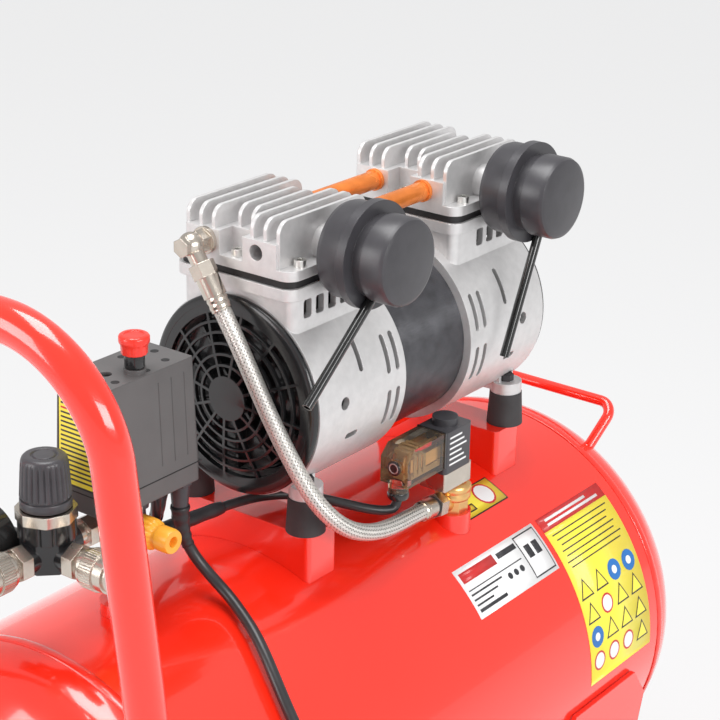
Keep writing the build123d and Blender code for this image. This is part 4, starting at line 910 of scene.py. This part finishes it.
def make_fan_details(materials):
    """A near-black disc behind each grille, painted shade for the dark inside of the fan cover, and the
    rolled rim round it.
    """
    fan_low, fan_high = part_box("fan_covers")
    pump_x = (fan_low.x + fan_high.x) / 2
    pump_z = (fan_low.z + fan_high.z) / 2
    for side, name in ((-1, "front"), (1, "rear")):
        # The near-black disc stands in for the shade inside the cover: painted shade, not a real part.
        at = Vector((pump_x + side * 125.6 * MM, 0, pump_z))
        outline = [(10.5, 0.0), (57.5, 0.0), (57.5, 0.6), (10.5, 0.6)]
        new_piece(f"fan_baffle_{name}", lathe_mesh("painted_shade_disc", outline, at, (-side, 0, 0), 64),
                  materials["seam_dark_and_hollow_shade"])
        face = Vector((pump_x + side * 136.5 * MM, 0, pump_z))
        rim = [(65.5, 0.0), (71.2, 0.0), (72.0, 0.8), (72.0, 2.6), (71.0, 3.9), (69.0, 4.6), (65.5, 4.6)]
        ring = new_piece(f"fan_rim_{name}", lathe_mesh("fan_rim", rim + [rim[0]], face, (side, 0, 0), 128),
                         materials["fan_black"])
        crease(ring, 40)


def make_solenoid_details(materials):
    """The clear connector's terminal block, blades, screw, seal and gland, and the coil's printed bars."""
    low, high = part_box("solenoid_plug")
    coil_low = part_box("solenoid_coil")[0]
    inner = bmesh.new()
    for step in range(3):
        x = low.x + (11 + 5.5 * step) * MM
        slab(inner, (x, low.y + 5 * MM, high.z - 23 * MM),
             (x + 3.4 * MM, high.y - 5 * MM, high.z - (6 + step) * MM))
    slab(inner, (low.x + 9 * MM, low.y + 7 * MM, high.z - 25 * MM),
         (high.x - 1.0 * MM, high.y - 7 * MM, high.z - 20 * MM))
    block = new_piece("connector_block", mesh_from(inner, "connector_block"), materials["tan_plastic"],
                      smooth=False)
    crease(block, 30, 0.6)
    blades = bmesh.new()
    for side in (-1, 1):
        y = (low.y + high.y) / 2 + side * 4.5 * MM
        slab(blades, (low.x + 8 * MM, y - 0.8 * MM, high.z - 19 * MM),
             (high.x - 1.0 * MM, y + 0.8 * MM, high.z - 9 * MM))
    new_piece("connector_blades", mesh_from(blades, "connector_blades"), materials["brass"],
              smooth=False)
    at = Vector((low.x + 0.5 * MM, (low.y + high.y) / 2, high.z - 15 * MM))
    outline = [(0.5, -6.0), (4.4, -6.0), (4.4, 0.5), (3.8, 1.0), (3.2, 1.0), (3.0, 0.4), (0.5, 0.4)]
    new_piece("connector_screw", lathe_mesh("connector_screw", outline, at, (-1, 0, 0), 32),
              materials["zinc"])
    ring = [(4.4, -0.4), (5.6, -0.4), (5.6, 0.5), (5.2, 0.8), (4.4, 0.8)]
    new_piece("connector_screw_ring", lathe_mesh("connector_screw_ring", ring, at, (-1, 0, 0), 32),
              materials["black_gloss"])
    seal = bmesh.new()
    slab(seal, (high.x - 0.6 * MM, low.y - 0.8 * MM, high.z - 27.5 * MM),
         (high.x + 0.8 * MM, high.y + 0.8 * MM, high.z + 0.6 * MM))
    new_piece("connector_seal", mesh_from(seal, "connector_seal"), materials["black_gloss"],
              smooth=False)
    bars = bmesh.new()
    for row in range(6):
        z = coil_low.z + (6 + 4.2 * row) * MM
        slab(bars, (coil_low.x + 5 * MM, coil_low.y - 0.15 * MM, z),
             (coil_low.x + (26 - 3 * (row % 3)) * MM, coil_low.y + 0.3 * MM, z + 1.4 * MM))
    new_piece("coil_bars", mesh_from(bars, "coil_bars"), materials["label_white"], smooth=False)
    gland_at = place(19.0, -70.0, 417.0)
    ring = [(3.6, -1.5), (7.2, -1.5), (8.0, 0.0), (8.0, 2.6), (7.4, 4.0), (6.4, 4.2), (3.6, 4.2)]
    gland = new_piece("connector_gland", lathe_mesh("connector_gland", ring, gland_at, (0, 0, 1), 40),
                      materials["black_gloss"])
    crease(gland, 30)


def make_valve_details(materials):
    """Turned rings on the brass check valve."""
    at = place(87.0, -71.0, 392.0)
    outline = [
        (8.0, -0.2), (12.6, 0.2), (13.4, 1.6), (13.4, 4.4), (12.8, 5.6), (12.8, 6.4), (13.8, 7.4),
        (13.8, 10.6), (12.4, 12.6), (9.6, 14.4), (7.2, 15.4), (6.4, 16.0)]
    new_piece("valve_body_rings", lathe_mesh("valve_body_rings", outline, at, (0, 0, 1), 72),
              materials["brass"])


def make_gauge_details(materials):
    """Scale marks round the dial."""
    low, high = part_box("gauge_dial")
    centre = (low + high) / 2
    marks = bmesh.new()
    for step in range(25):
        angle = math.radians(-135 + 270 * step / 24)
        inner, outer = (15.5 if step % 4 == 0 else 17.5), 20.0
        wide = 0.5 if step % 4 == 0 else 0.25
        out = Vector((0, -math.sin(angle), math.cos(angle)))
        side = Vector((0, math.cos(angle), math.sin(angle)))
        x = low.x - 0.1 * MM
        corners = []
        for reach, shift in ((inner, -wide), (inner, wide), (outer, wide), (outer, -wide)):
            spot = centre + (out * reach + side * shift) * MM
            corners.append(marks.verts.new((x, spot.y, spot.z)))
        marks.faces.new(corners)
    new_piece("gauge_marks", mesh_from(marks, "gauge_marks"), materials["label_ink"],
              smooth=False)


def make_sleeve_knurls(materials):
    """Raised lengthwise ridges on the couplers' sliding sleeves."""
    sleeves = (("coupler_sleeve_front", "front_sleeve", 0), ("coupler_sleeve_side", "side_sleeve", 1))
    for node, body, axis in sleeves:
        low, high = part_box(node)
        centre = (low + high) / 2
        near = high[axis] - 12.8 * MM
        far = high[axis] - 3.2 * MM
        ridges = bmesh.new()
        count = 44
        for step in range(count):
            angle = 2 * math.pi * step / count
            rows = []
            for along in (near, far):
                row = []
                for turn, reach in ((-0.045, 12.9), (0.0, 13.35), (0.045, 12.9)):
                    a, b = reach * MM * math.cos(angle + turn), reach * MM * math.sin(angle + turn)
                    if axis == 0:
                        spot = (along, centre.y + a, centre.z + b)
                    else:
                        spot = (centre.x + a, along, centre.z + b)
                    row.append(ridges.verts.new(spot))
                rows.append(row)
            for i in range(2):
                ridges.faces.new((rows[0][i], rows[0][i + 1], rows[1][i + 1], rows[1][i]))
            ridges.faces.new(rows[0])
            ridges.faces.new(rows[1][::-1])
            ridges.faces.new((rows[0][2], rows[0][0], rows[1][0], rows[1][2]))
        bmesh.ops.recalc_face_normals(ridges, faces=ridges.faces)
        new_piece(f"{node}_knurl", mesh_from(ridges, "knurl"), materials["nickel"], body,
                  smooth=False)


def make_tyre_treads(materials):
    """Chevron blocks round each tyre."""
    for node, body in (("wheel_left", "left_wheel"), ("wheel_right", "right_wheel")):
        low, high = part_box(node)
        centre = (low + high) / 2
        radius = (high.z - low.z) / 2
        tread = bmesh.new()
        count = 40
        for step in range(count):
            for side in (-1, 1):
                rows = []
                for lift in (-0.0020, 0.0003):
                    row = []
                    for y, shift in ((1.2, 0.0), (11.0, 0.6), (11.0, 1.1), (1.2, 0.5)):
                        angle = 2 * math.pi * (step + shift * 0.8) / count
                        reach = radius + lift - (0.0009 if y > 8 else 0.0)
                        spot = (centre.x + reach * math.cos(angle), centre.y + side * y * MM,
                                centre.z + reach * math.sin(angle))
                        row.append(tread.verts.new(spot))
                    rows.append(row)
                for i in range(4):
                    j = (i + 1) % 4
                    tread.faces.new((rows[0][i], rows[0][j], rows[1][j], rows[1][i]))
                tread.faces.new(rows[1])
        bmesh.ops.recalc_face_normals(tread, faces=tread.faces)
        new_piece(f"{node}_tread", mesh_from(tread, "tread"), materials["tyre"], body, smooth=False)


def main():
    """Dresses the frame: finishes, cables, then each group of small pieces."""
    materials = make_materials()
    make_camera()
    make_studio()
    finish_cad(materials)
    make_power_cord(materials)
    make_hose(materials)
    make_leads(materials)
    for name, node_x in (("weld_front", shell_low.x), ("weld_rear", shell_high.x)):
        ring_bead(name, node_x, TANK_R, 0.0028, materials)
    make_labels(materials)
    make_switch_details(materials)
    make_switch_knob(materials)
    make_safety_cap(materials)
    make_regulator_knob(materials)
    make_fan_details(materials)
    make_solenoid_details(materials)
    make_valve_details(materials)
    make_gauge_details(materials)
    make_sleeve_knurls(materials)
    make_tyre_treads(materials)


main()
